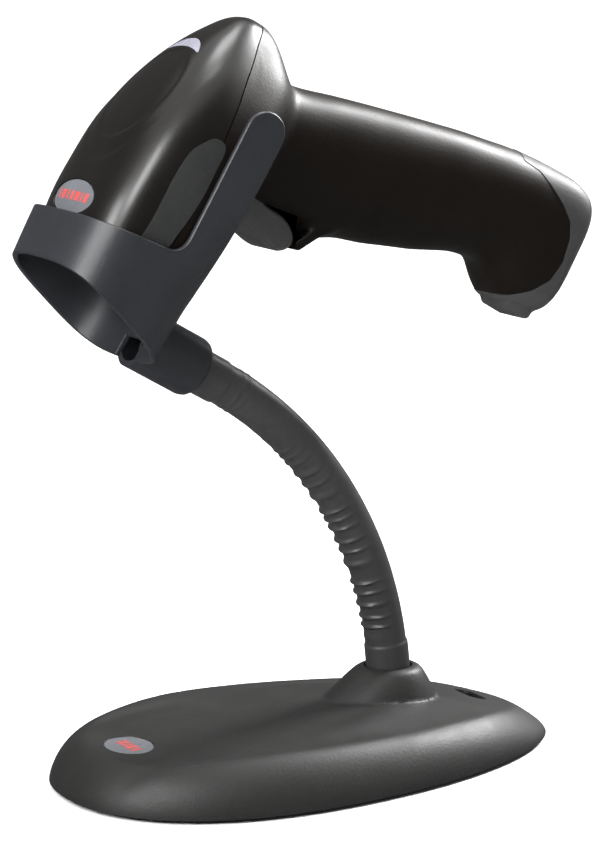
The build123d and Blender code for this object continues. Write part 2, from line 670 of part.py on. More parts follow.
# ---------------------------------------------------------------- window at the nose
with BuildPart() as nose_bezel:
    nose = oval(across(9), 24.2, 17.0, -15.3, HEAD_POWER)
    extrude(nose, amount=5)
    mouth = oval(across(10), 21.0, 13.8, -12.4, HEAD_POWER)
    extrude(mouth, amount=8, mode=Mode.SUBTRACT)
    seat = oval(across(7), 22.6, 15.4, -14.0, HEAD_POWER)
    extrude(seat, amount=-3, mode=Mode.SUBTRACT)
nose_bezel.part.label = "nose_bezel"
export_step(nose_bezel.part, "parts/nose_bezel.step")

with BuildPart() as window_gasket:
    extrude(oval(across(7.8), 22.5, 15.3, -13.9, HEAD_POWER), amount=0.7)
    extrude(oval(across(8), 20.8, 13.6, -12.2, HEAD_POWER), amount=2, mode=Mode.SUBTRACT)
window_gasket.part.label = "window_gasket"
export_step(window_gasket.part, "parts/window_gasket.step")

with BuildPart() as scan_window:
    extrude(oval(across(8.9), 22.4, 15.2, -13.8, HEAD_POWER), amount=1.0)
scan_window.part.label = "scan_window"
export_step(scan_window.part, "parts/scan_window.step")

# ---------------------------------------------------------------- scan engine
with BuildPart() as engine_chassis:
    block((-ENGINE_HALF_WIDTH, ENGINE_HALF_WIDTH), (ENGINE_FRONT, ENGINE_REAR),
          (ENGINE_FLOOR, ENGINE_FLOOR + ENGINE_SHEET))
    for low in (-ENGINE_HALF_WIDTH, ENGINE_HALF_WIDTH - 1.5):
        block((low, low + 1.5), (22, 56), (ENGINE_FLOOR + ENGINE_SHEET, ENGINE_FLOOR + 8))
    for x, back in ENGINE_SCREW_PLACES:
        rod(level(ENGINE_FLOOR), x, back, 2.6, -3.9)
        rod(level(ENGINE_FLOOR - 5), x, back, 0.9, 10, Mode.SUBTRACT)
engine_chassis.part.label = "engine_chassis"
export_step(engine_chassis.part, "parts/engine_chassis.step")

with BuildPart() as engine_screws:
    for x, back in ENGINE_SCREW_PLACES:
        screw(level(ENGINE_FLOOR + ENGINE_SHEET), x, back, 1.9, -1.0, 0.9, -7.0)
engine_screws.part.label = "engine_screws"
export_step(engine_screws.part, "parts/engine_screws.step")

with BuildPart() as main_board:
    block((-19, 19), (ENGINE_FRONT, 66), (BOARD_TOP - BOARD_THICKNESS, BOARD_TOP))
    for x, back in ENGINE_SCREW_PLACES:
        rod(level(BOARD_TOP - 5), x, back, 1.1, 10, Mode.SUBTRACT)
main_board.part.label = "main_board"
export_step(main_board.part, "parts/main_board.step")

with BuildPart() as laser_module:
    rod(across(LASER_FRONT), LASER_X, LASER_UP, 3.6, 14)
    rod(across(LASER_FRONT), LASER_X, LASER_UP, 1.2, -1.5)
laser_module.part.label = "laser_module"
export_step(laser_module.part, "parts/laser_module.step")

with BuildPart() as laser_clamp:
    block((-17.5, -7.5), (33, 41), (ENGINE_FLOOR + 1.7, LASER_UP))
    rod(across(LASER_FRONT), LASER_X, LASER_UP, 3.7, 14, Mode.SUBTRACT)
laser_clamp.part.label = "laser_clamp"
export_step(laser_clamp.part, "parts/laser_clamp.step")

with BuildPart() as photodiode:
    block((9.5, 16.5), (26, 27.6), (ENGINE_FLOOR + 1.7, MIRROR_UP + 3))
    rod(across(27.6), 13, MIRROR_UP, 2.2, -0.9)
photodiode.part.label = "photodiode"
export_step(photodiode.part, "parts/photodiode.step")

with BuildPart() as scan_mirror:
    block((-9, 9), (MIRROR_BACK - 0.6, MIRROR_BACK + 0.6), (MIRROR_UP - 4.5, MIRROR_UP + 5))
scan_mirror.part.label = "scan_mirror"
export_step(scan_mirror.part, "parts/scan_mirror.step")

with BuildPart() as mirror_magnet:
    block((-3, 3), (MIRROR_BACK + 0.6, MIRROR_BACK + 2.2), (MIRROR_UP - 2, MIRROR_UP + 2))
mirror_magnet.part.label = "mirror_magnet"
export_step(mirror_magnet.part, "parts/mirror_magnet.step")

with BuildPart() as scan_coil:
    rod(across(62), 0, MIRROR_UP, 5.5, 6)
    rod(across(62), 0, MIRROR_UP, 2.0, 6, Mode.SUBTRACT)
    block((-5, 5), (56.2, 61.8), (ENGINE_FLOOR + 1.7, MIRROR_UP - 2.4))
scan_coil.part.label = "scan_coil"
export_step(scan_coil.part, "parts/scan_coil.step")

with BuildPart() as beeper:
    rod(level(BOARD_TOP - BOARD_THICKNESS - 0.1), BEEPER_X, BEEPER_BACK, 6, -4.2)
    rod(level(BOARD_TOP - BOARD_THICKNESS - 3), BEEPER_X, BEEPER_BACK, 1.1, -3, Mode.SUBTRACT)
beeper.part.label = "beeper"
export_step(beeper.part, "parts/beeper.step")

with BuildPart() as status_led:
    block((-1.6, 1.6), (LED_BACK - 2, LED_BACK + 2), (LED_BOARD_TOP + 0.1, LED_BOARD_TOP + 1.3))
    rod(level(LED_BOARD_TOP + 1.3), 0, LED_BACK, 1.3, 1.4)
status_led.part.label = "status_led"
export_step(status_led.part, "parts/status_led.step")

with BuildPart() as led_board:
    block((-8, 8), (LED_BACK - 7.5, LED_BACK + 5), (LED_BOARD_TOP - 1.3, LED_BOARD_TOP))
led_board.part.label = "led_board"
export_step(led_board.part, "parts/led_board.step")

with BuildPart() as handle_board:
    with BuildSketch(side(0)) as edge_view:
        with BuildLine():
            Polyline((74, -46), (75.6, -46), (91, -120), (89.4, -120), close=True)
        make_face()
    extrude(edge_view.sketch, amount=9.5, both=True)
handle_board.part.label = "handle_board"
export_step(handle_board.part, "parts/handle_board.step")

with BuildPart() as ribbon_cable:
    with BuildSketch(side(0)) as edge_view:
        with BuildLine():
            Polyline((67, -11.4), (72.6, -11.4), (72.6, -44), (73.8, -48), (73.5, -48.2), (72.2, -44.2),
                     (72.2, -11.8), (67, -11.8), close=True)
        make_face()
    extrude(edge_view.sketch, amount=5, both=True)
ribbon_cable.part.label = "ribbon_cable"
export_step(ribbon_cable.part, "parts/ribbon_cable.step")

with BuildPart() as housing_screws:
    for x, back in HOUSING_SCREW_PLACES:
        screw(level(-17), x, back, 2.4, 1.4, 1.1, 8)
housing_screws.part.label = "housing_screws"
export_step(housing_screws.part, "parts/housing_screws.step")

with BuildPart() as cap_screw:
    screw(level(CAP_SCREW_UP), 0, CAP_SCREW_BACK, 2.4, 1.4, 1.1, 9)
cap_screw.part.label = "cap_screw"
export_step(cap_screw.part, "parts/cap_screw.step")
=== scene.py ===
import json
import math
import bmesh
import bpy
import numpy as np
from mathutils import Matrix, Vector


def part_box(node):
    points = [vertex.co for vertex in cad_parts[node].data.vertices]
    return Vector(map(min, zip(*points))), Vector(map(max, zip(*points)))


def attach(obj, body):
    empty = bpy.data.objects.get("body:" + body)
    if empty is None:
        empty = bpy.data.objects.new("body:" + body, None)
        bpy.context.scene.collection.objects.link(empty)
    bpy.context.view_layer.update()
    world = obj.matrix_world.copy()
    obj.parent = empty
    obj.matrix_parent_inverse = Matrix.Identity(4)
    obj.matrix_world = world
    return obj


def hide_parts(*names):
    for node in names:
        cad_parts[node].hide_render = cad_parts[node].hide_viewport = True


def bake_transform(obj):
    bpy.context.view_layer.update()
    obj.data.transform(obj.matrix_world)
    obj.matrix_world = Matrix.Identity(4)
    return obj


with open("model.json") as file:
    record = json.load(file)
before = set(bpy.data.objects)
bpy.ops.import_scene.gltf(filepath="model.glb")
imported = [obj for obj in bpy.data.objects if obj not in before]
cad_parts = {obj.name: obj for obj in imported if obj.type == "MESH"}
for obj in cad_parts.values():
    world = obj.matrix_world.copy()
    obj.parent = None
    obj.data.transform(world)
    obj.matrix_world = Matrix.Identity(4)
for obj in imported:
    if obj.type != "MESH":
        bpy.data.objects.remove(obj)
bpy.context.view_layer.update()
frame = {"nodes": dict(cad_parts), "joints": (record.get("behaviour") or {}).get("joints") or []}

# Shapes are worked out in millimetres and turned into metres when a mesh is made.
MM = 0.001
NODES = frame["nodes"]
JOINTS = {joint["name"]: joint for joint in frame["joints"]}

# ---------- places, from the frame
# The scanner has its own axes: x across it, back away from its nose, and up out of the top of its head.
TRIGGER_PIVOT = Vector(JOINTS["trigger_pull"]["pos_m"]) / MM
BACK = Vector(JOINTS["scanner_lift"]["axis"]).normalized()
UP = Vector((0, -BACK.z, BACK.y))
PIVOT_BACK = 50.0
PIVOT_UP = -26.0
ORIGIN = TRIGGER_PIVOT - BACK * PIVOT_BACK - UP * PIVOT_UP


def in_scanner(points):
    """Points given as x, back and up on the scanner, in millimetres of the shared frame."""
    points = np.asarray(points, float)
    turn = np.array([(1, 0, 0), tuple(BACK), tuple(UP)])
    return points @ turn + np.array(ORIGIN)


# ---------- mesh tools
CURVE_STEP = 0.25
CURVE_MARGIN = 40
PROBE = 0.08
LEAST_SLOPE = 1e-6
LEAST_LENGTH = 1e-9
LEAST_LEVEL = 1e-4
WELD = 0.005


def soft_curve(places, values, spread):
    """A curve through a few stations, smoothed over a spread in millimetres."""
    grid = np.arange(min(places) - CURVE_MARGIN, max(places) + CURVE_MARGIN, CURVE_STEP)
    order = np.argsort(places)
    line = np.interp(grid, np.array(places, float)[order], np.array(values, float)[order])
    reach = int(spread * 3 / CURVE_STEP)
    weights = np.exp(-0.5 * (np.arange(-reach, reach + 1) * CURVE_STEP / spread) ** 2)
    padded = np.concatenate([np.full(reach, line[0]), line, np.full(reach, line[-1])])
    smooth = np.convolve(padded, weights / weights.sum(), mode="valid")
    return lambda place: np.interp(place, grid, smooth)


def smooth_step(value):
    """0 below 0 and 1 above 1, with a soft rise between them."""
    value = np.clip(value, 0, 1)
    return value * value * (3 - 2 * value)


def smooth_union(one, other, reach):
    """What is inside either of two fields, with a fillet of about reach between them."""
    mix = np.clip(0.5 + 0.5 * (other - one) / reach, 0, 1)
    return other + (one - other) * mix - reach * mix * (1 - mix)


def smooth_cut(one, other, reach):
    """What is inside both of two fields, with a rounded edge."""
    return -smooth_union(-one, -other, reach)


def surface_net(field, low, high, step):
    """Quads over the zero surface of a field, on a grid."""
    axes = [np.arange(a, b + step, step) for a, b in zip(low, high)]
    values = field(*np.meshgrid(*axes, indexing="ij"))
    cells = tuple(np.array(values.shape) - 1)
    total = np.zeros(cells + (3,))
    count = np.zeros(cells)
    crossings = []
    for axis in range(3):
        first = np.take(values, range(values.shape[axis] - 1), axis)
        second = np.take(values, range(1, values.shape[axis]), axis)
        crossing = (first < 0) != (second < 0)
        share = np.where(crossing, first / np.where(crossing, first - second, 1), 0)
        crossings.append((crossing, first < 0))
        others = [a for a in range(3) if a != axis]
        for one in (0, 1):
            for two in (0, 1):
                cut = [slice(None)] * 3
                cut[others[0]] = slice(one, one + cells[others[0]])
                cut[others[1]] = slice(two, two + cells[others[1]])
                hit = crossing[tuple(cut)]
                total[..., axis] += np.where(hit, share[tuple(cut)], 0)
                total[..., others[0]] += hit * one
                total[..., others[1]] += hit * two
                count += hit
    used = count > 0
    number = np.full(cells, -1)
    number[used] = np.arange(used.sum())
    points = np.argwhere(used) + total[used] / count[used][:, None]
    points = points * step + np.array(low)
    quads = []
    for axis in range(3):
        crossing, inside = crossings[axis]
        others = [a for a in range(3) if a != axis]
        cut = [slice(None)] * 3
        cut[others[0]] = slice(1, cells[others[0]])
        cut[others[1]] = slice(1, cells[others[1]])
        where = np.argwhere(crossing[tuple(cut)])
        where[:, others[0]] += 1
        where[:, others[1]] += 1
        corners = []
        for one, two in ((1, 1), (0, 1), (0, 0), (1, 0)):
            at = where.copy()
            at[:, others[0]] -= one
            at[:, others[1]] -= two
            corners.append(number[at[:, 0], at[:, 1], at[:, 2]])
        quad = np.stack(corners, 1)
        outward = inside[where[:, 0], where[:, 1], where[:, 2]]
        if axis == 1:
            outward = ~outward
        quads.append(np.where(outward[:, None], quad, quad[:, ::-1]))
    return points, np.concatenate(quads)


def slope(field, points):
    """How fast a field grows along each axis."""
    parts = []
    for axis in range(3):
        shift = np.zeros(3)
        shift[axis] = PROBE
        parts.append((field(*(points + shift).T) - field(*(points - shift).T)) / (2 * PROBE))
    return np.stack(parts, 1)


def settle(field, points, rounds=4, limit=0.6):
    """Move points onto the zero surface of a field."""
    for _ in range(rounds):
        steep = slope(field, points)
        move = field(*points.T) / np.maximum((steep ** 2).sum(1), LEAST_SLOPE)
        move = move[:, None] * steep
        length = np.linalg.norm(move, axis=1, keepdims=True)
        points = points - move * np.minimum(1, limit / np.maximum(length, LEAST_LENGTH))
    return points


def of_length_one(vectors):
    return vectors / np.maximum(np.linalg.norm(vectors, axis=1, keepdims=True), LEAST_LENGTH)


def normals_of(field, points):
    return of_length_one(slope(field, points))


def halves(quads):
    """Each quad as two triangles."""
    return np.concatenate([quads[:, [0, 1, 2]], quads[:, [0, 2, 3]]])


def clip(points, triangles, level, field=None):
    """Keep the part of a surface where level is below zero, cut along a clean line."""
    value = level(*points.T)
    value = np.where(np.abs(value) < LEAST_LEVEL, LEAST_LEVEL, value)
    keep = value < 0
    inside = keep[triangles].sum(1)
    whole = triangles[inside == 3]
    edges = []
    for one, two in ((0, 1), (1, 2), (2, 0)):
        pair = triangles[:, [one, two]]
        edges.append(np.sort(pair[keep[pair[:, 0]] != keep[pair[:, 1]]], 1))
    edges = np.unique(np.concatenate(edges), axis=0)
    if len(edges) == 0:
        return tidy(points, whole)
    first, second = points[edges[:, 0]], points[edges[:, 1]]
    low, high = value[edges[:, 0]], value[edges[:, 1]]
    fresh = first + (second - first) * (low / (low - high))[:, None]
    if field is not None:
        fresh = settle(field, fresh, 2)
    where = {(int(a), int(b)): len(points) + i for i, (a, b) in enumerate(edges)}
    found = []
    for triangle in triangles[inside == 1]:
        while not keep[triangle[0]]:
            triangle = np.roll(triangle, -1)
        a, b, c = (int(t) for t in triangle)
        found.append((a, where[min(a, b), max(a, b)], where[min(a, c), max(a, c)]))
    for triangle in triangles[inside == 2]:
        while keep[triangle[2]]:
            triangle = np.roll(triangle, -1)
        a, b, c = (int(t) for t in triangle)
        after = where[min(b, c), max(b, c)]
        before = where[min(a, c), max(a, c)]
        found.append((a, b, after))
        found.append((a, after, before))
    every = np.concatenate([whole, np.array(found, int).reshape(-1, 3)])
    return tidy(np.concatenate([points, fresh]), every)


def tidy(points, triangles):
    """Drop points that no triangle uses."""
    used = np.unique(triangles)
    number = np.full(len(points), -1)
    number[used] = np.arange(len(used))
    return points[used], number[triangles]


def shell(points, triangles, normals, thickness, bulge, rim_steps=4):
    """A wall of even thickness under a surface, with a rounded rim."""
    edges = np.concatenate([triangles[:, [0, 1]], triangles[:, [1, 2]], triangles[:, [2, 0]]])
    _, first, times = np.unique(np.sort(edges, 1), axis=0, return_index=True, return_counts=True)
    rim = edges[first[times == 1]]
    count = len(points)
    inner = points - normals * thickness
    faces = [tuple(t) for t in triangles.tolist()]
    faces += [tuple(t[::-1]) for t in (triangles + count).tolist()]
    every = [points, inner]
    if len(rim):
        direction = points[rim[:, 1]] - points[rim[:, 0]]
        away = of_length_one(np.cross(direction, normals[rim[:, 0]]))
        outward = np.zeros_like(points)
        np.add.at(outward, rim[:, 0], away)
        np.add.at(outward, rim[:, 1], away)
        outward = of_length_one(outward)
        on_rim = np.unique(rim)
        at = np.full(count, -1)
        at[on_rim] = np.arange(len(on_rim))
        rings = [on_rim]
        offset = 2 * count
        for step in range(1, rim_steps):
            angle = math.pi * step / rim_steps
            ring = points[on_rim] - normals[on_rim] * thickness * (1 - math.cos(angle)) / 2
            every.append(ring + outward[on_rim] * bulge * math.sin(angle))
            rings.append(np.arange(len(on_rim)) + offset)
            offset += len(on_rim)
        rings.append(on_rim + count)
        for near, far in zip(rings[:-1], rings[1:]):
            for a, b in rim:
                faces.append((near[at[b]], near[at[a]], far[at[a]], far[at[b]]))
    return np.concatenate(every), faces


def make(name, points, faces, material, smooth=True, sharp=40.0):
    """A mesh piece from points in millimetres of the shared frame."""
    mesh = bpy.data.meshes.new(name)
    corners = (np.asarray(points, float) * MM).tolist()
    mesh.from_pydata(corners, [], [[int(i) for i in face] for face in faces])
    mesh.validate()
    piece = bpy.data.objects.new(name, mesh)
    bpy.context.scene.collection.objects.link(piece)
    bm = bmesh.new()
    bm.from_mesh(mesh)
    bmesh.ops.remove_doubles(bm, verts=bm.verts, dist=WELD * MM)
    bmesh.ops.recalc_face_normals(bm, faces=bm.faces)
    bm.to_mesh(mesh)
    bm.free()
    if smooth:
        mesh.shade_smooth()
        mesh.set_sharp_from_angle(angle=math.radians(sharp))
    mesh.materials.append(material)
    return piece


def place(piece, body, slot, *nodes):
    """Let a piece ride on a body and stand for CAD nodes."""
    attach(piece, body)
    if nodes:
        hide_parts(*nodes)
    return piece


# ---------- materials
def socket(node, name, value):
    node.inputs[name].default_value = value


def base_material(name):
    material = bpy.data.materials.new(name)
    material.use_nodes = True
    tree = material.node_tree
    return material, tree, tree.nodes["Principled BSDF"]


def noise(tree, scale, detail, rough=0.6):
    """Noise that rides with the piece, at scale waves to the metre."""
    coordinates = tree.nodes.new("ShaderNodeTexCoord")
    texture = tree.nodes.new("ShaderNodeTexNoise")
    socket(texture, "Scale", scale)
    socket(texture, "Detail", detail)
    socket(texture, "Roughness", rough)
    tree.links.new(coordinates.outputs["Object"], texture.inputs["Vector"])
    return texture.outputs["Fac"]


def ramp(tree, factor, stops):
    """Colours at places from 0 to 1, picked by a factor."""
    node = tree.nodes.new("ShaderNodeValToRGB")
    elements = node.color_ramp.elements
    while len(elements) < len(stops):
        elements.new(0.5)
    for element, (place_at, colour) in zip(elements, stops):
        element.position = place_at
        element.color = (*colour, 1)
    tree.links.new(factor, node.inputs["Fac"])
    return node.outputs["Color"]


def grey(value):
    return (value, value, value)


def tint(colour, factor):
    return tuple(min(1.0, part * factor) for part in colour)


def gloss_from(tree, shader, factor, low, high):
    """Roughness that wanders between two values."""
    gloss = ramp(tree, factor, [(0.3, grey(low)), (0.7, grey(high))])
    tree.links.new(gloss, shader.inputs["Roughness"])


def bump_from(tree, shader, factor, strength, depth):
    """Relief of a depth in metres."""
    height = tree.nodes.new("ShaderNodeBump")
    socket(height, "Strength", strength)
    socket(height, "Distance", depth)
    tree.links.new(factor, height.inputs["Height"])
    tree.links.new(height.outputs["Normal"], shader.inputs["Normal"])


def moulded(name, colour, rough, grain, bump, spread, specular=0.5, coat=0.0):
    """Moulded plastic: fine spark-eroded grain, slight colour drift and handling marks in the gloss."""
    material, tree, shader = base_material(name)
    drift = noise(tree, 28, 4)
    tone = ramp(tree, drift, [(0.3, tint(colour, 0.88)), (0.7, tint(colour, 1.12))])
    speck = noise(tree, grain * 0.7, 2)
    fleck = ramp(tree, speck, [(0.35, grey(0.86)), (0.65, grey(1.14))])
    mix = tree.nodes.new("ShaderNodeMix")
    mix.data_type = "RGBA"
    mix.blend_type = "MULTIPLY"
    socket(mix, "Factor", 0.5)
    tree.links.new(tone, mix.inputs["A"])
    tree.links.new(fleck, mix.inputs["B"])
    tree.links.new(mix.outputs["Result"], shader.inputs["Base Color"])
    gloss_from(tree, shader, noise(tree, 55, 6, 0.7), rough - spread, rough + spread)
    bump_from(tree, shader, noise(tree, grain, 2, 0.5), bump, 0.0002)
    socket(shader, "Specular IOR Level", specular)
    if coat:
        socket(shader, "Coat Weight", coat)
        socket(shader, "Coat Roughness", 0.22)
    return material


def metal(name, colour, rough, scratch=0.05):
    """Bare metal with fine machining marks."""
    material, tree, shader = base_material(name)
    drift = noise(tree, 90, 5)
    tone = ramp(tree, drift, [(0.3, tint(colour, 0.85)), (0.7, tint(colour, 1.1))])
    tree.links.new(tone, shader.inputs["Base Color"])
    marks = noise(tree, 900, 3)
    gloss_from(tree, shader, marks, rough - scratch, rough + scratch)
    bump_from(tree, shader, marks, 0.15, 0.0001)
    socket(shader, "Metallic", 1.0)
    return material


def clear(name, colour, rough, alpha):
    """Tinted clear plastic."""
    material, tree, shader = base_material(name)
    drift = noise(tree, 40, 2)
    tone = ramp(tree, drift, [(0.3, tint(colour, 0.9)), (0.7, tint(colour, 1.1))])
    tree.links.new(tone, shader.inputs["Base Color"])
    gloss_from(tree, shader, noise(tree, 120, 4), rough, rough + 0.06)
    socket(shader, "Alpha", alpha)
    socket(shader, "Specular IOR Level", 0.6)
    return material


# Moulded plastics: colour, roughness, grain, bump, spread of the roughness, specular level, clear coat.
M = {
    "base": moulded("base_plastic", (0.012, 0.012, 0.0115), 0.5, 1100, 0.30, 0.05, 0.3),
    "cradle": moulded("cradle_plastic", (0.015, 0.016, 0.019), 0.42, 1300, 0.16, 0.04, 0.4),
    "head": moulded("head_plastic", (0.004, 0.0032, 0.0026), 0.32, 1500, 0.08, 0.04, 0.35, 0.06),
    "handle": moulded("handle_plastic", (0.0045, 0.0028, 0.0016), 0.42, 1300, 0.2, 0.05, 0.25),
    "grey": moulded("grey_plastic", (0.032, 0.032, 0.0325), 0.5, 1300, 0.2, 0.05, 0.3),
    "pad": moulded("pad_plastic", (0.019, 0.020, 0.0195), 0.55, 1300, 0.2, 0.05, 0.25),
    "inner": moulded("inner_plastic", (0.006, 0.006, 0.0065), 0.5, 900, 0.1, 0.05, 0.2),
    "sleeve": moulded("sleeve_vinyl", (0.026, 0.026, 0.027), 0.42, 800, 0.22, 0.07, 0.35),
    "rubber": moulded("foot_rubber", (0.02, 0.02, 0.02), 0.75, 700, 0.3, 0.05, 0.3),
    "badge": moulded("badge_plastic", (0.10, 0.105, 0.115), 0.42, 900, 0.06, 0.04),
    "bar": moulded("badge_print", (0.42, 0.06, 0.055), 0.5, 900, 0.05, 0.04),
    "lens": moulded("light_lens", (0.25, 0.25, 0.3), 0.3, 700, 0.03, 0.04),
    "board": moulded("board_green", (0.02, 0.12, 0.05), 0.35, 600, 0.1, 0.05),
    "film": moulded("ribbon_film", (0.45, 0.28, 0.06), 0.25, 500, 0.05, 0.05),
    "steel": metal("machined_steel", (0.55, 0.55, 0.57), 0.32),
    "iron": metal("cast_weight", (0.16, 0.16, 0.165), 0.55),
    "brass": metal("brass_part", (0.7, 0.5, 0.22), 0.3),
    "copper": metal("coil_copper", (0.62, 0.28, 0.14), 0.35),
    "alloy": metal("cast_alloy", (0.5, 0.5, 0.52), 0.42),
    "mirror": metal("mirror_glass", (0.9, 0.9, 0.9), 0.06, 0.01),
    "window": clear("window_glass", (0.16, 0.015, 0.02), 0.06, 0.6),
}

# The CAD nodes' materials. One that isn't listed is steel in the neck's core, and base plastic elsewhere.
NODE_MATERIALS = {
    "base_weight": "iron", "base_plate": "base", "rubber_feet": "rubber", "base_screws": "steel",
    "neck_lower_fitting": "steel", "neck_lower_nut": "steel", "neck_upper_fitting": "steel",
    "neck_upper_screw": "steel", "cable_jack": "inner", "trigger_pin": "steel", "trigger_spring": "steel",
    "trigger_switch": "inner", "nose_bezel": "inner", "window_gasket": "rubber",
    "scan_window": "window", "engine_chassis": "alloy", "engine_screws": "steel", "main_board": "board",
    "laser_module": "brass", "laser_clamp": "alloy", "photodiode": "inner", "scan_mirror": "mirror",
    "mirror_magnet": "steel", "scan_coil": "copper", "beeper": "inner", "status_led": "lens",
    "led_board": "board", "handle_board": "board", "ribbon_cable": "film", "housing_screws": "steel",
    "cap_screw": "steel",
}
for node_name, node in NODES.items():
    key = NODE_MATERIALS.get(node_name, "steel" if node_name.startswith("neck_core") else "base")
    node.data.materials.clear()
    node.data.materials.append(M[key])

# ---------- scanner housing
# Shapes are fields: below zero inside, about the distance in millimetres outside.
LEAST_SIZE = 1e-3
FAR_OUTSIDE = 50.0


def oval_size(one, other, power):
    """1 on a rounded square of half side 1, and less inside it."""
    return (np.abs(one) ** power + np.abs(other) ** power) ** (1 / power)


HEAD_POWER = 3.1
HEAD_END_POWER = 2.6
HEAD_ROUND_FROM = 44.0
HEAD_END = 95.75
HEAD_STATIONS = (0, 22, 44, 64, 80, 88, 94)
head_width = soft_curve((0, 22, 44, 56, 68, 80, 88, 94), (27.4, 28.9, 29.3, 28.4, 26.0, 21.5, 18.0, 15.0), 5)
head_height = soft_curve(HEAD_STATIONS, (19.5, 21.3, 22.1, 22.1, 21.2, 19.0, 15.5), 4)
head_middle = soft_curve(HEAD_STATIONS, (0.9, 0.5, -2.0, -6.2, -9.0, -9.2, -8.4), 4)

HANDLE_TOP = -14.0
FOOT_END = -149.1
FOOT_ROUND = 4.5
HEEL_FROM = -138.0
HEEL_RUN = 11.0
HEEL_DROP = 3.0
handle_rear = soft_curve((-150, -136, -124.7, -114, -104, -94.3, -75.3, -56.8, -43.3, -36.5, -29, -18),
                         (106.7, 106.9, 106.5, 105.4, 103.3, 101.4, 96.7, 91.9, 88.2, 86.0, 84.0, 83.5), 2.5)
handle_front = soft_curve((-150, -140, -133.5, -129, -126.2, -123.7, -121.3, -119, -117, -113.8, -109.3,
                           -105, -96.4, -87.5, -78.7, -69.7, -65.5, -63.6, -50, -33, -18),
                          (60.5, 59.0, 58.6, 61.4, 63.8, 65.6, 66.4, 66.6, 66.2, 65.6, 64.2,
                           62.3, 58.4, 55.2, 51.9, 49.3, 47.6, 46.3, 44.4, 42.8, 44.0), 1.2)
handle_width = soft_curve((-160, -137, -118, -81, -50, -33, -18),
                          (16.8, 16.8, 16.2, 15.4, 15.9, 17.0, 17.6), 5)
handle_power = soft_curve((-150, -138, -120, -18), (3.3, 3.3, 2.4, 2.4), 3)

# The panels on top of the head, a drop shape and an oval inset in it: half width, front end, rear end,
# depth, and width of the soft edge.
CROWN_PANELS = ((21.0, 32.0, 92.0, 0.28, 2.4), (15.5, 40.5, 76.0, 0.34, 1.6))
CROWN_FROM = -2.0
CROWN_FADE = 6.0


def oval_edge(x, back, half_x, front, rear):
    """How far outside an oval, along x and back, that reaches from front to rear."""
    middle = (front + rear) / 2
    return (np.hypot(x / half_x, (back - middle) / (rear - middle)) - 1) * half_x


def crown_relief(x, back, up):
    """Depth of the panels on top of the head."""
    depth = sum(deep * smooth_step(0.5 - oval_edge(x, back, half_x, front, rear) / edge)
                for half_x, front, rear, deep, edge in CROWN_PANELS)
    return depth * smooth_step((up - CROWN_FROM) / CROWN_FADE)


def head_field(x, back, up):
    """The head: a rounded section along its length, closed by a dome at the rear."""
    run = np.maximum(back - HEAD_ROUND_FROM, 0)
    high = up - head_middle(back)
    section = oval_size(x / head_width(back), high / head_height(back), HEAD_POWER)
    size = oval_size(section, run / (HEAD_END - HEAD_ROUND_FROM), HEAD_END_POWER)
    far = np.sqrt(x ** 2 + high ** 2 + run ** 2)
    return far * (1 - 1 / np.maximum(size, LEAST_SIZE)) + crown_relief(x, back, up)


def handle_field(x, back, up):
    """The handle, down to the rounded edge of its foot."""
    rear = handle_rear(up) - HEEL_DROP * np.clip((HEEL_FROM - up) / HEEL_RUN, 0, 1) ** 2
    front = handle_front(up)
    along = back - (rear + front) / 2
    size = oval_size(x / handle_width(up), along / ((rear - front) / 2), handle_power(up))
    side = np.hypot(x, along) * (1 - 1 / np.maximum(size, LEAST_SIZE))
    return np.maximum(smooth_cut(side, FOOT_END - up, FOOT_ROUND), up - HANDLE_TOP)


def box_field(x, back, up, low, high, rounding):
    """A rounded box over the middle of the scanner, from low to high in x, back and up."""
    gaps = [np.abs(x) - high[0], np.abs(back - (low[1] + high[1]) / 2) - (high[1] - low[1]) / 2,
            np.abs(up - (low[2] + high[2]) / 2) - (high[2] - low[2]) / 2]
    gaps = [gap + rounding for gap in gaps]
    outside = np.sqrt(sum(np.maximum(gap, 0) ** 2 for gap in gaps))
    return outside + np.minimum(np.maximum(np.maximum(gaps[0], gaps[1]), gaps[2]), 0) - rounding


def bar_field(x, back, up, start, end, radius, half_width, rounding):
    """A rounded bar across the scanner, between two points of its side view."""
    run = np.array(end) - np.array(start)
    along = np.clip(((back - start[0]) * run[0] + (up - start[1]) * run[1]) / (run @ run), 0, 1)
    gap = np.hypot(back - start[0] - along * run[0], up - start[1] - along * run[1]) - radius
    beyond = np.abs(x) - half_width
    outside = np.hypot(np.maximum(gap + rounding, 0), np.maximum(beyond + rounding, 0))
    return outside + np.minimum(np.maximum(gap, beyond) + rounding, 0) - rounding


# The lip behind the trigger, and the step of the end cap at the toe of the handle.
GUARD_START = (39.9, -53.4)
GUARD_END = (50.0, -60.0)
GUARD_RADIUS = 1.9
GUARD_HALF_WIDTH = 10.5
GUARD_ROUNDING = 1.7
GUARD_BLEND = 4.0
TOE_LOW = (-8.5, 57.4, -147.2)
TOE_HIGH = (8.5, 68.0, -136.0)
TOE_ROUNDING = 1.8
TOE_BLEND = 1.2
HEAD_BLEND = 6.0


def body_field(x, back, up):
    """The whole housing, head and handle in one."""
    toe = box_field(x, back, up, TOE_LOW, TOE_HIGH, TOE_ROUNDING)
    handle = smooth_union(handle_field(x, back, up), toe, TOE_BLEND)
    body = smooth_union(head_field(x, back, up), handle, HEAD_BLEND)
    guard = bar_field(x, back, up, GUARD_START, GUARD_END, GUARD_RADIUS, GUARD_HALF_WIDTH, GUARD_ROUNDING)
    return smooth_union(body, guard, GUARD_BLEND)


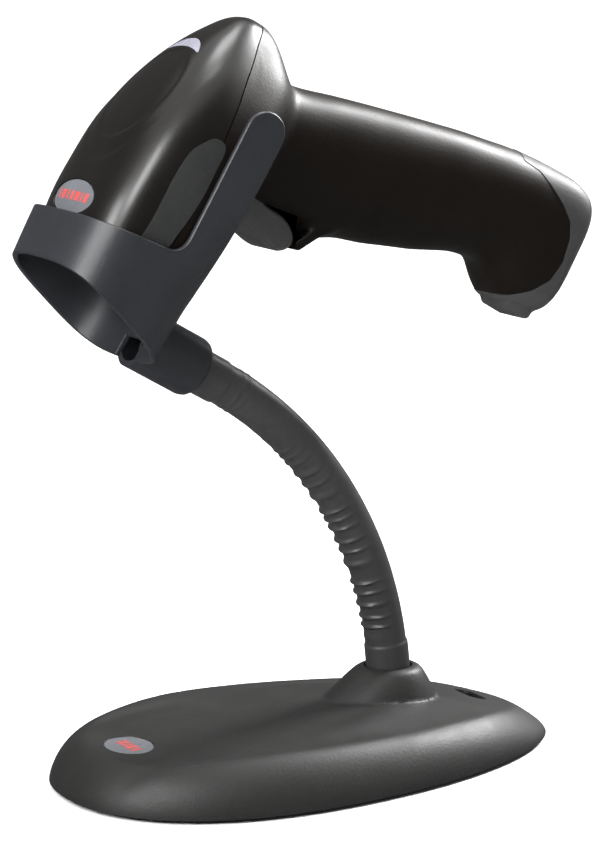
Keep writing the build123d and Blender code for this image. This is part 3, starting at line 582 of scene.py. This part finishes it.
# ---------- outlines that part the housing
def polygon_distance(across, along, outline):
    """Signed distance to a closed outline in a plane, below zero inside."""
    nearest = np.full(np.shape(across), np.inf)
    inside = np.zeros(np.shape(across), bool)
    for (a0, b0), (a1, b1) in zip(outline, np.roll(outline, -1, 0)):
        run_a, run_b = a1 - a0, b1 - b0
        share = np.clip(((across - a0) * run_a + (along - b0) * run_b) / (run_a ** 2 + run_b ** 2), 0, 1)
        nearest = np.minimum(nearest, np.hypot(across - a0 - share * run_a, along - b0 - share * run_b))
        if b0 != b1:
            inside ^= ((b0 > along) != (b1 > along)) & (across < a0 + (along - b0) * run_a / run_b)
    return np.where(inside, -nearest, nearest)


def closed_curve(points, count):
    """A closed smooth curve through a few points, read count times."""
    points = np.array(points, float)
    n = len(points)
    out = []
    for i in range(count):
        t = i / count * n
        k = int(t)
        f = t - k
        p0, p1, p2, p3 = (points[(k + j - 1) % n] for j in range(4))
        out.append(0.5 * ((2 * p1) + (p2 - p0) * f + (2 * p0 - 5 * p1 + 4 * p2 - p3) * f ** 2
                          + (3 * p1 - p0 - 3 * p2 + p3) * f ** 3))
    return np.array(out)


def grown(level, gap):
    """The same shape, larger all round by gap."""
    return lambda x, back, up: level(x, back, up) - gap


def outside_of(level, gap=0.0):
    """What is left round a shape, with a gap."""
    return lambda x, back, up: gap - level(x, back, up)


def oval_level(middle, half_x, half_along):
    """An oval seen from above, its middle on the centre line."""
    def level(x, along, up):
        return (np.hypot(x / half_x, (along - middle) / half_along) - 1) * min(half_x, half_along)
    return level


SEAM_GAP = 0.22
seam_line = soft_curve((-10, 55, 63.4, 73.2, 81, 88.7, 95.2, 110),
                       (-2.6, -3.0, -3.5, -4.4, -6.0, -7.4, -9.7, -14.5), 2)


def below_seam(x, back, up):
    """The handle's side of the seam between the head cover and the housing."""
    return up - seam_line(back)


CAP_OUTLINE = np.array(((112, -116.0), (102.4, -116.5), (101.9, -122.8), (99.3, -128.1), (95.8, -134.5),
                        (91.7, -139.8), (86.3, -142.5), (78.7, -143.8), (71.4, -142.6), (65.3, -138.7),
                        (60.6, -133.6), (57.4, -127.6), (56.1, -123.3), (40, -122), (40, -160), (112, -160)))
JACK_BACK = 72.1
JACK_HALF_X = 7.6
JACK_HALF_BACK = 6.3
JACK_UP = -144.0


def cap_level(x, back, up):
    """The end cap, round the heel of the handle."""
    return polygon_distance(back, up, CAP_OUTLINE)


def jack_level(x, back, up):
    """The opening for the cord jack in the foot."""
    hole = np.maximum(np.abs(x) - JACK_HALF_X, np.abs(back - JACK_BACK) - JACK_HALF_BACK)
    return np.where(up < JACK_UP, hole, 1.0)


TRIGGER_POINTS = ((48.5, -22.8), (42.5, -25.0), (38.5, -28.5), (36.3, -31.7), (35.9, -35.0), (35.5, -39.0),
                  (34.7, -43.7), (34.6, -46.7), (35.0, -48.5), (36.6, -50.6), (39.0, -51.8), (41.2, -51.3),
                  (43.5, -48.9), (44.8, -46.3), (45.7, -42.4), (45.8, -39.0), (46.4, -35.5), (50.0, -30.0),
                  (52.6, -26.5), (52.4, -23.4))
TRIGGER_OUTLINE = closed_curve(TRIGGER_POINTS, 80)
TRIGGER_TRAVEL = math.radians(5.0)
TRIGGER_HALF_WIDTH = 9.0
TRIGGER_ROUND = 1.6
SLOT_HALF_WIDTH = 9.9
SLOT_GAP = 1.2


def pulled(outline, angle):
    """The trigger's side view, turned about its pin."""
    back, up = outline[:, 0] - PIVOT_BACK, outline[:, 1] - PIVOT_UP
    return np.stack([PIVOT_BACK + back * math.cos(angle) - up * math.sin(angle),
                     PIVOT_UP + back * math.sin(angle) + up * math.cos(angle)], 1)


SLOT_OUTLINES = [pulled(TRIGGER_OUTLINE[::2], TRIGGER_TRAVEL * share) for share in (0, 0.5, 1)]


def slot_level(x, back, up):
    """The opening that the trigger comes out of, clear of it all the way through its travel."""
    room = np.minimum.reduce([polygon_distance(back, up, outline) for outline in SLOT_OUTLINES])
    return np.maximum(np.abs(x) - SLOT_HALF_WIDTH, room - SLOT_GAP)


# The crescent lens is what one circle has outside another: each circle's middle and radius.
LENS_REAR, LENS_REAR_RADIUS = 69.1, 12.2
LENS_FRONT, LENS_FRONT_RADIUS = 50.8, 26.8
LENS_LOWEST = -4.0


def lens_level(x, back, up):
    """Moon shape, its round side to the back."""
    rear = np.hypot(x, back - LENS_REAR) - LENS_REAR_RADIUS
    front = np.hypot(x, back - LENS_FRONT) - LENS_FRONT_RADIUS
    return np.where(up > LENS_LOWEST, np.maximum(rear, -front), FAR_OUTSIDE)


BADGE_BACK = 18.7
badge_oval = oval_level(BADGE_BACK, 12.6, 5.8)


def badge_level(x, back, up):
    """The oval badge on top of the head."""
    return np.where(up > 0, badge_oval(x, back, up), FAR_OUTSIDE)


PAD_POINTS = ((8.0, 8.2), (15.9, 7.9), (20.5, 7.5), (27, 7.4), (34.3, 7.3), (40.4, 6.8), (45.4, 5.7),
              (49.6, 2.9), (52.0, 0.5), (52.5, -2.2), (51.6, -4.2), (48.7, -4.7), (43.8, -4.5),
              (34.5, -4.4), (27.0, -3.5), (19.5, -2.2), (12.0, -1.2), (8.0, -0.6), (6.5, 4))
PAD_OUTLINE = closed_curve(PAD_POINTS, 76)
PAD_FROM_MIDDLE = 15.0


def pad_level(x, back, up):
    """Leaf-shaped inlay on each side of the head."""
    return np.where(np.abs(x) > PAD_FROM_MIDDLE, polygon_distance(back, up, PAD_OUTLINE), FAR_OUTSIDE)


def on_side(sign):
    """The left or the right half of the scanner."""
    return lambda x, back, up: -x * sign


# ---------- pieces of the housing
BODY_LOW = (-33, -1.2, -153)
BODY_HIGH = (33, 112, 26)
BODY_GRID = 0.8
BODY_WALL = 2.2
BODY_RIM = 0.12
NOSE_EDGE = 3.0
LENS_GAP = 0.15
BADGE_GAP = 0.3
PAD_GAP = 0.2


def behind_nose(x, back, up):
    """The housing starts behind the nose, which is a CAD piece of its own."""
    return NOSE_EDGE - back


body_points, body_quads = surface_net(body_field, BODY_LOW, BODY_HIGH, BODY_GRID)
body_points = settle(body_field, body_points)
body_points, body_faces = clip(body_points, halves(body_quads), behind_nose, body_field)


def housing_piece(name, material, slot, node, levels, thickness=BODY_WALL, proud=0.0):
    """The stretch of the housing that is inside all the levels, standing proud of the rest."""
    points, faces = body_points, body_faces
    for level in levels:
        points, faces = clip(points, faces, level, body_field)
    field = grown(body_field, proud)
    if proud:
        points = settle(field, points)
    points, faces = shell(points, faces, normals_of(field, points), thickness, BODY_RIM)
    return place(make(name, in_scanner(points), faces, material), "scanner", slot, node)


housing_piece("head_cover_shell", M["head"], "head_plastic", "head_cover",
              [outside_of(below_seam, SEAM_GAP), outside_of(lens_level, LENS_GAP),
               outside_of(badge_level, BADGE_GAP), outside_of(pad_level, PAD_GAP)])
housing_piece("handle_housing_shell", M["handle"], "handle_plastic", "handle_housing",
              [grown(below_seam, -SEAM_GAP), outside_of(cap_level, SEAM_GAP),
               outside_of(slot_level), outside_of(pad_level, PAD_GAP)])
housing_piece("end_cap_shell", M["grey"], "grey_plastic", "end_cap",
              [cap_level, outside_of(jack_level)], proud=0.2)
housing_piece("led_lens_window", M["lens"], "light_lens", "led_lens", [lens_level])
housing_piece("head_badge_plate", M["badge"], "badge_plastic", "head_badge", [badge_level],
              thickness=1.0, proud=-0.25)
for side_name, sign in (("left", 1), ("right", -1)):
    housing_piece(f"side_pad_{side_name}_inlay", M["pad"], "grey_plastic", f"side_pad_{side_name}",
                  [pad_level, on_side(sign)], thickness=1.4, proud=0.18)


# ---------- trigger
def rounded_prism(outline, half_width, radius, steps=5):
    """Prism over a side outline with rounded long edges."""
    outline = np.array(outline)
    ahead = np.roll(outline, -1, 0) - np.roll(outline, 1, 0)
    inward = of_length_one(np.stack([-ahead[:, 1], ahead[:, 0]], 1))
    centre = outline.mean(0)
    if ((centre - outline) * inward).sum() < 0:
        inward = -inward
    rings = [(-half_width + radius * (1 - math.cos(math.pi / 2 * s / steps)),
              radius * (1 - math.sin(math.pi / 2 * s / steps))) for s in range(steps + 1)]
    rings += [(-x, inset) for x, inset in rings[::-1]]
    points = []
    for x, inset in rings:
        for (back, up), (in_back, in_up) in zip(outline, inward):
            points.append((x, back + in_back * inset, up + in_up * inset))
    count = len(outline)
    faces = []
    for ring in range(len(rings) - 1):
        for i in range(count):
            j = (i + 1) % count
            faces.append((ring * count + i, ring * count + j, (ring + 1) * count + j, (ring + 1) * count + i))
    faces.append(tuple(range(count))[::-1])
    faces.append(tuple((len(rings) - 1) * count + i for i in range(count)))
    return points, faces


trigger_points, trigger_faces = rounded_prism(TRIGGER_OUTLINE, TRIGGER_HALF_WIDTH, TRIGGER_ROUND)
place(make("trigger_blade_shell", in_scanner(trigger_points), trigger_faces, M["grey"]),
      "trigger_blade", "grey_plastic", "trigger")

# ---------- cradle
CUP_POWER = 3.1
CUP_STATIONS = (-24, 4, 20, 45, 72)
cup_width = soft_curve(CUP_STATIONS, (29.1, 30.6, 31.2, 32.0, 32.6), 6)
cup_top = soft_curve(CUP_STATIONS, (23.3, 24.4, 24.9, 25.6, 26.2), 6)
cup_low = soft_curve(CUP_STATIONS, (-21.3, -22.7, -27.0, -38.0, -42.0), 5)
CUP_MEAN_RADIUS = 28.0
CUP_LOW = (-36, -28, -46)
CUP_HIGH = (36, 74, 30)
CUP_GRID = 1.0
CUP_WALL = 2.0
CUP_RIM = 0.45
# The mouth leans: its edge is at this place where up is 0, and moves back by the lean as up grows.
MOUTH_EDGE = -10.5
MOUTH_LEAN = 0.323
# The rear edge of the ring over the sides and the top, and of the floor under them.
ring_edge = soft_curve((-40, -6, 0, 7, 40), (14.9, 14.9, 14.9, 14.3, 11.5), 2)
FLOOR_EDGE = 3.0
FLOOR_UP = -12.0
ARM_END = 60.8
ARM_UP = -12.9
ARM_HALF = 6.7
ARM_BLEND = 7.0
SOCKET_BACK = -10.27
RECESS_HALF = 6.6


def cup_field(x, back, up):
    """The outer surface that the ring and the arms are cut from."""
    middle = (cup_top(back) + cup_low(back)) / 2
    height = (cup_top(back) - cup_low(back)) / 2
    return (oval_size(x / cup_width(back), (up - middle) / height, CUP_POWER) - 1) * CUP_MEAN_RADIUS


def behind_mouth(x, back, up):
    """The ring starts at the leaning edge of its mouth."""
    return MOUTH_EDGE + MOUTH_LEAN * up - back


def ring_and_arms(x, back, up):
    """The ring, and the two arms that reach back from it."""
    straight = np.abs(up - ARM_UP) - ARM_HALF
    rounded = np.hypot(np.maximum(back - ARM_END, 0), up - ARM_UP) - ARM_HALF
    arm = np.where(back > ARM_END, rounded, straight)
    floor = np.maximum(back - FLOOR_EDGE, up - FLOOR_UP)
    upper = np.maximum(back - ring_edge(up), FLOOR_UP - up)
    return smooth_union(np.minimum(upper, floor), arm, ARM_BLEND)


def recess_level(x, back, up):
    """The recess in the floor in front of the socket's screw."""
    return np.where(up < FLOOR_UP, np.maximum(np.abs(x) - RECESS_HALF, back - SOCKET_BACK), FAR_OUTSIDE)


def ring_tube(profile, centre, count=64):
    """Closed ring round the socket's axis: profile is (radius, up), centre is the axis's place back."""
    points, faces = [], []
    for i in range(count):
        angle = 2 * math.pi * i / count
        for radius, up in profile:
            points.append((radius * math.cos(angle), centre + radius * math.sin(angle), up))
    n = len(profile)
    for i in range(count):
        j = (i + 1) % count
        for k in range(n):
            m = (k + 1) % n
            faces.append((i * n + k, j * n + k, j * n + m, i * n + m))
    return np.array(points), faces


# Outside from the rounded lower end to the top, then down the bore with its floor for the screw.
SOCKET_PROFILE = ((7.7, -43.9), (7.8, -44.5), (8.2, -44.7), (8.9, -44.4), (9.5, -43.7), (9.85, -42.7),
                  (10.0, -41.6), (10.0, -20.8), (8.0, -20.8), (7.9, -28.0), (1.8, -28.0), (1.8, -31.0),
                  (7.9, -31.0))

cup_points, cup_quads = surface_net(cup_field, CUP_LOW, CUP_HIGH, CUP_GRID)
cup_points = settle(cup_field, cup_points)
cup_faces = halves(cup_quads)
for cup_level in (behind_mouth, ring_and_arms, outside_of(recess_level)):
    cup_points, cup_faces = clip(cup_points, cup_faces, cup_level, cup_field)
cup_points, cup_faces = shell(cup_points, cup_faces, normals_of(cup_field, cup_points), CUP_WALL, CUP_RIM)
tube_points, tube_faces = ring_tube(SOCKET_PROFILE, SOCKET_BACK)
cup_faces += [tuple(i + len(cup_points) for i in face) for face in tube_faces]
cup_points = np.concatenate([cup_points, tube_points])
place(make("cradle_shell", in_scanner(cup_points), cup_faces, M["cradle"]), "cup", "cradle_plastic", "cradle")

# ---------- gooseneck
NECK_JOINTS = ["neck_bend", "neck_side", "neck_bend_middle", "neck_side_upper", "neck_bend_upper"]
neck_places = [Vector(JOINTS[name]["pos_m"]) / MM for name in NECK_JOINTS]


def circle_through(a, b, c):
    """Centre and radius, in the YZ plane, of the circle through three points."""
    rows = np.array([[2 * (b.y - a.y), 2 * (b.z - a.z)], [2 * (c.y - a.y), 2 * (c.z - a.z)]])
    sums = np.array([b.y ** 2 - a.y ** 2 + b.z ** 2 - a.z ** 2, c.y ** 2 - a.y ** 2 + c.z ** 2 - a.z ** 2])
    y, z = np.linalg.solve(rows, sums)
    return y, z, math.hypot(a.y - y, a.z - z)


# Places on the neck are distances along its middle line, an arc and then a straight stretch.
NECK_CY, NECK_CZ, NECK_R = circle_through(neck_places[0], neck_places[2], neck_places[3])
NECK_ARC = math.radians(60) * NECK_R
JOINTS_AT = [math.atan2(p.z - NECK_CZ, p.y - NECK_CY) * NECK_R for p in neck_places]
MOUTH_AT = 10.6
SOCKET_AT = NECK_ARC + 6.6
NECK_RADIUS = 7.0
SLEEVE_BORE = 5.0
IN_BOSS = 7.0
IN_SOCKET = 9.0
BEND_REACH = 8.5
SIDES = 56
RING_STEP = 0.4

COLLAR_DEPTH = 0.45
LOW_COLLAR, LOW_COLLAR_EDGE = 7.6, 1.2
HIGH_COLLAR, HIGH_COLLAR_EDGE = 8.0, 1.4
RIBS_BELOW_SOCKET = (12.2, 15.0)
RIB_DEPTH = 0.2
RIB_WIDTH = 0.7

CREASE_PITCH = 5.0
CREASE_DEPTH = 0.95
CREASE_SHARPNESS = 2.2
CREASES_FROM, CREASES_RISE = 20, 8
CREASES_FADE_FROM, CREASES_FADE = 66, 58


def neck_frame(distance):
    """Centre, outward direction (away from the bend's centre) and tangent."""
    angle = min(distance, NECK_ARC) / NECK_R
    beyond = max(distance - NECK_ARC, 0)
    out = np.array([0, math.cos(angle), math.sin(angle)])
    along = np.array([0, -math.sin(angle), math.cos(angle)])
    centre = np.array([0, NECK_CY, NECK_CZ]) + out * NECK_R + along * beyond
    return centre, out, along


def neck_ring(distance, radius_at):
    """Points round the neck, each at its own radius."""
    centre, out, _ = neck_frame(distance)
    for side in range(SIDES):
        angle = 2 * math.pi * side / SIDES
        yield centre + radius_at(angle) * (math.cos(angle) * out + math.sin(angle) * np.array([1, 0, 0]))


def collar_radius(distance):
    """The sleeve is thicker where it ends at the mouth and at the socket."""
    low = 1 - smooth_step((distance - MOUTH_AT - LOW_COLLAR) / LOW_COLLAR_EDGE)
    high = smooth_step((distance - SOCKET_AT + HIGH_COLLAR) / HIGH_COLLAR_EDGE)
    ribs = sum(math.exp(-((distance - SOCKET_AT + rib) / RIB_WIDTH) ** 2) for rib in RIBS_BELOW_SOCKET)
    return NECK_RADIUS + COLLAR_DEPTH * max(low, high) + RIB_DEPTH * ribs


def wrinkle(distance, angle):
    """Creases across the inside of the bend, uneven, and deepest low on the neck."""
    inner_side = max(0.0, 0.25 - 0.75 * math.cos(angle)) ** 1.1
    wobble = 1.3 * math.sin(distance * 0.19) + 0.8 * math.sin(distance * 0.43 + 1)
    phase = (distance + wobble) / CREASE_PITCH * 2 * math.pi
    ridge = (0.5 + 0.5 * math.cos(phase + 0.5 * math.sin(phase))) ** CREASE_SHARPNESS - 0.3
    fade = float(smooth_step((distance - CREASES_FROM) / CREASES_RISE)
                 * (1 - smooth_step((distance - CREASES_FADE_FROM) / CREASES_FADE)))
    return CREASE_DEPTH * ridge * fade * inner_side


def neck_piece(name, start, end):
    """A stretch of the sleeve, its ends closed in to the core."""
    points, faces = [], []
    count = max(2, int(round((end - start) / RING_STEP)))
    for ring in range(count + 1):
        distance = start + (end - start) * ring / count
        points += neck_ring(distance, lambda angle: collar_radius(distance) + wrinkle(distance, angle))
    for ring in range(count):
        for side in range(SIDES):
            after = (side + 1) % SIDES
            faces.append((ring * SIDES + side, ring * SIDES + after,
                          (ring + 1) * SIDES + after, (ring + 1) * SIDES + side))
    for ring, distance, flip in ((0, start, True), (count, end, False)):
        inner = len(points)
        points += neck_ring(distance, lambda angle: SLEEVE_BORE)
        for side in range(SIDES):
            after = (side + 1) % SIDES
            face = (ring * SIDES + side, ring * SIDES + after, inner + after, inner + side)
            faces.append(face if flip else face[::-1])
    return make(name, points, faces, M["sleeve"])


between_joints = [(a + b) / 2 for a, b in zip(JOINTS_AT[:-1], JOINTS_AT[1:])]
cuts = [MOUTH_AT - IN_BOSS, *between_joints, SOCKET_AT + IN_SOCKET]
for number in range(len(NECK_JOINTS)):
    sleeve = neck_piece(f"neck_sleeve_part_{number + 1}", cuts[number], cuts[number + 1])
    bend_start = neck_frame(JOINTS_AT[number] - BEND_REACH)[0] * MM
    bend_end = neck_frame(JOINTS_AT[number] + BEND_REACH)[0] * MM
    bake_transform(sleeve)
    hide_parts(f"neck_sleeve_{number + 1}")
    if number == 0:
        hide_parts("neck_lower_collar")
    if number == len(NECK_JOINTS) - 1:
        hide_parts(f"neck_sleeve_{number + 2}", "neck_upper_collar")

# ---------- stand base
cover_low, cover_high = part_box("base_cover")
BASE_Y = (cover_low.y + cover_high.y) / 2 / MM
COVER_FOOT = cover_low.z / MM
BOSS_TOP = cover_high.z / MM
NECK_Y = NECK_CY + NECK_R
HALF_LENGTH = 90.3
HALF_WIDTH = 51.2
EGG_POWER = 2.17
EGG_SKEW = -0.176
SHOULDER = 12.1
SHOULDER_POWER = 1.6
MEAN_HEIGHT = 13.0
BASE_LOW = (-54, BASE_Y - 94, COVER_FOOT - 3)
BASE_HIGH = (54, BASE_Y + 94, 31)
BASE_GRID = 1.1
BASE_WALL = 2.2
FOOT_TRIM = 0.3
# Heights along the base at its sides and its middle, and the crest between them: half width and run.
side_height = soft_curve((-85, -62, -35, 0, 35, 65, 85), (16.6, 16.7, 18.3, 17.5, 15.9, 13.4, 6.0), 8)
middle_height = soft_curve((-67, -40, -10, 10, 35, 50, 65, 80, 90),
                           (15.4, 16.8, 18.8, 20.0, 20.0, 17.5, 14.1, 10, 6), 6)
crest = soft_curve((-80, -66, -40, -10, 30, 90), (28.0, 33.0, 36.0, 38.0, 38.5, 30.0), 8)
crest_run = soft_curve((-85, -30, 0, 30, 90), (7, 7, 12, 30, 30), 8)
# The mound round the neck's foot: its radius at the top, and how far it spreads to each side on the way down.
BOSS_FOOT = 20.0
BOSS_RADIUS = 9.7
BOSS_SPREAD_SIDE = 5.3
BOSS_SPREAD_FRONT = 13.6
BOSS_SPREAD_REAR = 5.8
BOSS_EDGE = 1.6
BOSS_BLEND = 0.35
BOSS_BORE = 8.3
BOSS_BORE_Y = NECK_Y - 0.4
BOSS_BORE_DEPTH = 4.0
CABLE_Y = BASE_Y + 64.2
CABLE_HALF = 4.0
CABLE_RADIUS = 3.4
BASE_BADGE_Y = BASE_Y - 67.1
base_badge_level = oval_level(BASE_BADGE_Y, 9.9, 7.4)


def base_inset(x, y):
    """Distance inside the egg-shaped outline."""
    along = (y - BASE_Y) / HALF_LENGTH
    width = HALF_WIDTH * (1 + EGG_SKEW * along)
    aside = x / width
    size = np.maximum(oval_size(along, aside, EGG_POWER), LEAST_SIZE)
    steep = np.hypot((np.abs(along) / size) ** (EGG_POWER - 1) / HALF_LENGTH,
                     (np.abs(aside) / size) ** (EGG_POWER - 1) / width)
    return (1 - size) / steep


def plate_field(x, y, z):
    """The base's rounded plate, with a shallow dish between two crests."""
    along = y - BASE_Y
    rise = smooth_step((np.abs(x) - crest(along)) / crest_run(along) + 1)
    height = middle_height(along) + (side_height(along) - middle_height(along)) * rise - COVER_FOOT
    outward = np.maximum(1 - base_inset(x, y) / SHOULDER, 0)
    level = np.maximum(z - COVER_FOOT, 0) / height
    return (oval_size(outward, level, SHOULDER_POWER) - 1) * MEAN_HEIGHT


def mound_field(x, y, z):
    """The mound round the neck's foot, longer to the front than to the rear."""
    drop = np.clip((BOSS_TOP - z) / (BOSS_TOP - BOSS_FOOT), 0, 2)
    half_width = BOSS_RADIUS + BOSS_SPREAD_SIDE * drop ** 0.7
    spread = np.where(y < NECK_Y, BOSS_SPREAD_FRONT * drop ** 0.85, BOSS_SPREAD_REAR * drop ** 0.7)
    mound = (np.hypot(x / half_width, (y - NECK_Y) / (BOSS_RADIUS + spread)) - 1) * half_width * 0.85
    return smooth_cut(mound, z - BOSS_TOP, BOSS_EDGE)


def base_field(x, y, z):
    return smooth_union(plate_field(x, y, z), mound_field(x, y, z), BOSS_BLEND)


def cable_level(x, y, z):
    """The slot that a cord would go through."""
    return np.hypot(np.maximum(np.abs(x) - CABLE_HALF, 0), y - CABLE_Y) - CABLE_RADIUS


def neck_hole(x, y, z):
    """The hole in the top of the mound."""
    return np.where(z > BOSS_TOP - BOSS_BORE_DEPTH, np.hypot(x, y - BOSS_BORE_Y) - BOSS_BORE, 1.0)


def above_foot(x, y, z):
    return COVER_FOOT + FOOT_TRIM - z


base_points, base_quads = surface_net(base_field, BASE_LOW, BASE_HIGH, BASE_GRID)
base_points = settle(base_field, base_points)
base_faces = halves(base_quads)


def base_part(name, material, slot, node, levels, thickness, rim, proud=0.0):
    """The stretch of the base that is inside all the levels, standing proud of the rest."""
    points, faces = base_points, base_faces
    for level in levels:
        points, faces = clip(points, faces, level, base_field)
    field = grown(base_field, proud)
    if proud:
        points = settle(field, points)
    points, faces = shell(points, faces, normals_of(field, points), thickness, rim)
    return place(make(name, points, faces, material), "stand", slot, node)


base_part("base_cover_shell", M["base"], "base_plastic", "base_cover",
          [above_foot, outside_of(base_badge_level, 0.25), outside_of(cable_level), outside_of(neck_hole)],
          thickness=BASE_WALL, rim=0.3)
base_part("base_badge_plate", M["badge"], "badge_plastic", "base_badge", [base_badge_level],
          thickness=1.0, rim=0.15, proud=-0.2)

# ---------- printed marks on the badges
BAR_WIDTHS = (0.5, 1.1, 0.5, 0.8, 1.4, 0.5, 0.9)
BAR_ROWS = 5
BAR_DEPTH = 0.3
HEAD_BAR_SUNK = 0.2
BASE_BAR_SUNK = 0.15


def badge_bars(name, middle, scale, gap, half_along, field, start_height, to_frame, body):
    """A row of plain bars, laid on a field from start_height."""
    widths = [scale * width for width in BAR_WIDTHS]
    points, faces = [], []
    at = -(sum(widths) + gap * (len(widths) - 1)) / 2
    for width in widths:
        start = len(points)
        for x in (at, at + width):
            for offset in np.linspace(-half_along, half_along, BAR_ROWS):
                points.append((x, middle + offset, start_height))
        for k in range(start, start + BAR_ROWS - 1):
            faces.append((k, k + 1, k + 1 + BAR_ROWS, k + BAR_ROWS))
        at += width + gap
    top = settle(field, np.array(points), 6)
    both = np.concatenate([top, top - normals_of(field, top) * BAR_DEPTH])
    every = faces + [tuple(i + len(top) for i in face[::-1]) for face in faces]
    place(make(name, to_frame(both), every, M["bar"], smooth=False), body, "badge_plastic")


badge_bars("head_badge_bars", BADGE_BACK + 0.4, 2.2, 1.15, 1.5, grown(body_field, -HEAD_BAR_SUNK), 20.5,
           in_scanner, "scanner")
badge_bars("base_badge_bars", BASE_BADGE_Y, 1.25, 0.8, 2.0, grown(base_field, -BASE_BAR_SUNK), 15.0,
           np.asarray, "stand")


# ---------- floor
def link_object(name, data):
    item = bpy.data.objects.new(name, data)
    bpy.context.scene.collection.objects.link(item)
    return item


FLOOR_HALF = 14.0
FLOOR_GLOW_FROM, FLOOR_GLOW_TO = 0.35, 1.6
FLOOR_GLOW = 0.6


def floor_paint():
    """Pale and matt, with a glow that grows with the distance from the object."""
    material, tree, shader = base_material("pale_floor")
    socket(shader, "Base Color", (0.86, 0.86, 0.86, 1))
    socket(shader, "Roughness", 0.7)
    socket(shader, "Emission Color", (1, 1, 1, 1))
    spot = tree.nodes.new("ShaderNodeTexCoord")
    distance = tree.nodes.new("ShaderNodeVectorMath")
    distance.operation = "LENGTH"
    glow = tree.nodes.new("ShaderNodeMapRange")
    socket(glow, "From Min", FLOOR_GLOW_FROM)
    socket(glow, "From Max", FLOOR_GLOW_TO)
    socket(glow, "To Max", FLOOR_GLOW)
    tree.links.new(spot.outputs["Object"], distance.inputs[0])
    tree.links.new(distance.outputs["Value"], glow.inputs["Value"])
    tree.links.new(glow.outputs["Result"], shader.inputs["Emission Strength"])
    return material


floor_mesh = bpy.data.meshes.new("floor")
floor_corners = [(x * FLOOR_HALF, y * FLOOR_HALF, 0) for x, y in ((-1, -1), (1, -1), (1, 1), (-1, 1))]
floor_mesh.from_pydata(floor_corners, [], [(0, 1, 2, 3)])
floor_mesh.materials.append(floor_paint())
floor = link_object("floor", floor_mesh)
floor.visible_glossy = False

# ---------- light
MIDDLE = (0, 0, 0.13)
SCANNER_TOP = (0, 0.06, 0.2)


def soft_light(name, direction, distance, width, height, power, target):
    """A softbox that looks at the target from a direction and a distance."""
    data = bpy.data.lights.new(name, "AREA")
    data.shape = "RECTANGLE"
    data.size = width
    data.size_y = height
    data.energy = power
    light = link_object(name, data)
    aim = Vector(target)
    light.location = aim + Vector(direction).normalized() * distance
    light.rotation_euler = (aim - light.location).to_track_quat("-Z", "Y").to_euler()


soft_light("front_softbox", (0.2, -0.9, 0.4), 0.9, 0.25, 0.4, 8, MIDDLE)
soft_light("key_softbox", (0.46, -0.6, 0.57), 0.9, 0.16, 0.3, 5, MIDDLE)
soft_light("high_softbox", (-0.1, 0.1, 1.0), 0.9, 0.3, 0.3, 5, SCANNER_TOP)
soft_light("rear_softbox", (-0.14, 0.85, 0.53), 1.0, 0.26, 0.42, 26, SCANNER_TOP)

sky_data = bpy.data.lights.new("sky_glow", "SUN")
sky_data.energy = 2.0
sky_data.angle = math.radians(85)
link_object("sky_glow", sky_data)

world = bpy.data.worlds.new("studio")
bpy.context.scene.world = world
world.use_nodes = True
background = world.node_tree.nodes["Background"]
socket(background, "Color", (1, 1, 1, 1))
socket(background, "Strength", 0.16)

# ---------- camera
CAMERA_PLACE = (0.8596, -0.4977 + BASE_Y * MM, 0.3050)
CAMERA_TURN = math.radians(29.85)
CAMERA_DIP = math.radians(10.775)
back_axis = Vector((math.cos(CAMERA_TURN) * math.cos(CAMERA_DIP),
                    -math.sin(CAMERA_TURN) * math.cos(CAMERA_DIP),
                    math.sin(CAMERA_DIP)))
right_axis = Vector((math.sin(CAMERA_TURN), math.cos(CAMERA_TURN), 0))
up_axis = back_axis.cross(right_axis)
camera_data = bpy.data.cameras.new("camera")
camera_data.lens = 132.0
camera_data.sensor_width = 36.0
camera_data.clip_start = 0.01
camera = link_object("camera", camera_data)
turn = Matrix((right_axis, up_axis, back_axis)).transposed().to_4x4()
camera.matrix_world = Matrix.Translation(CAMERA_PLACE) @ turn
bpy.context.scene.camera = camera
bpy.context.scene.view_settings.view_transform = "Standard"
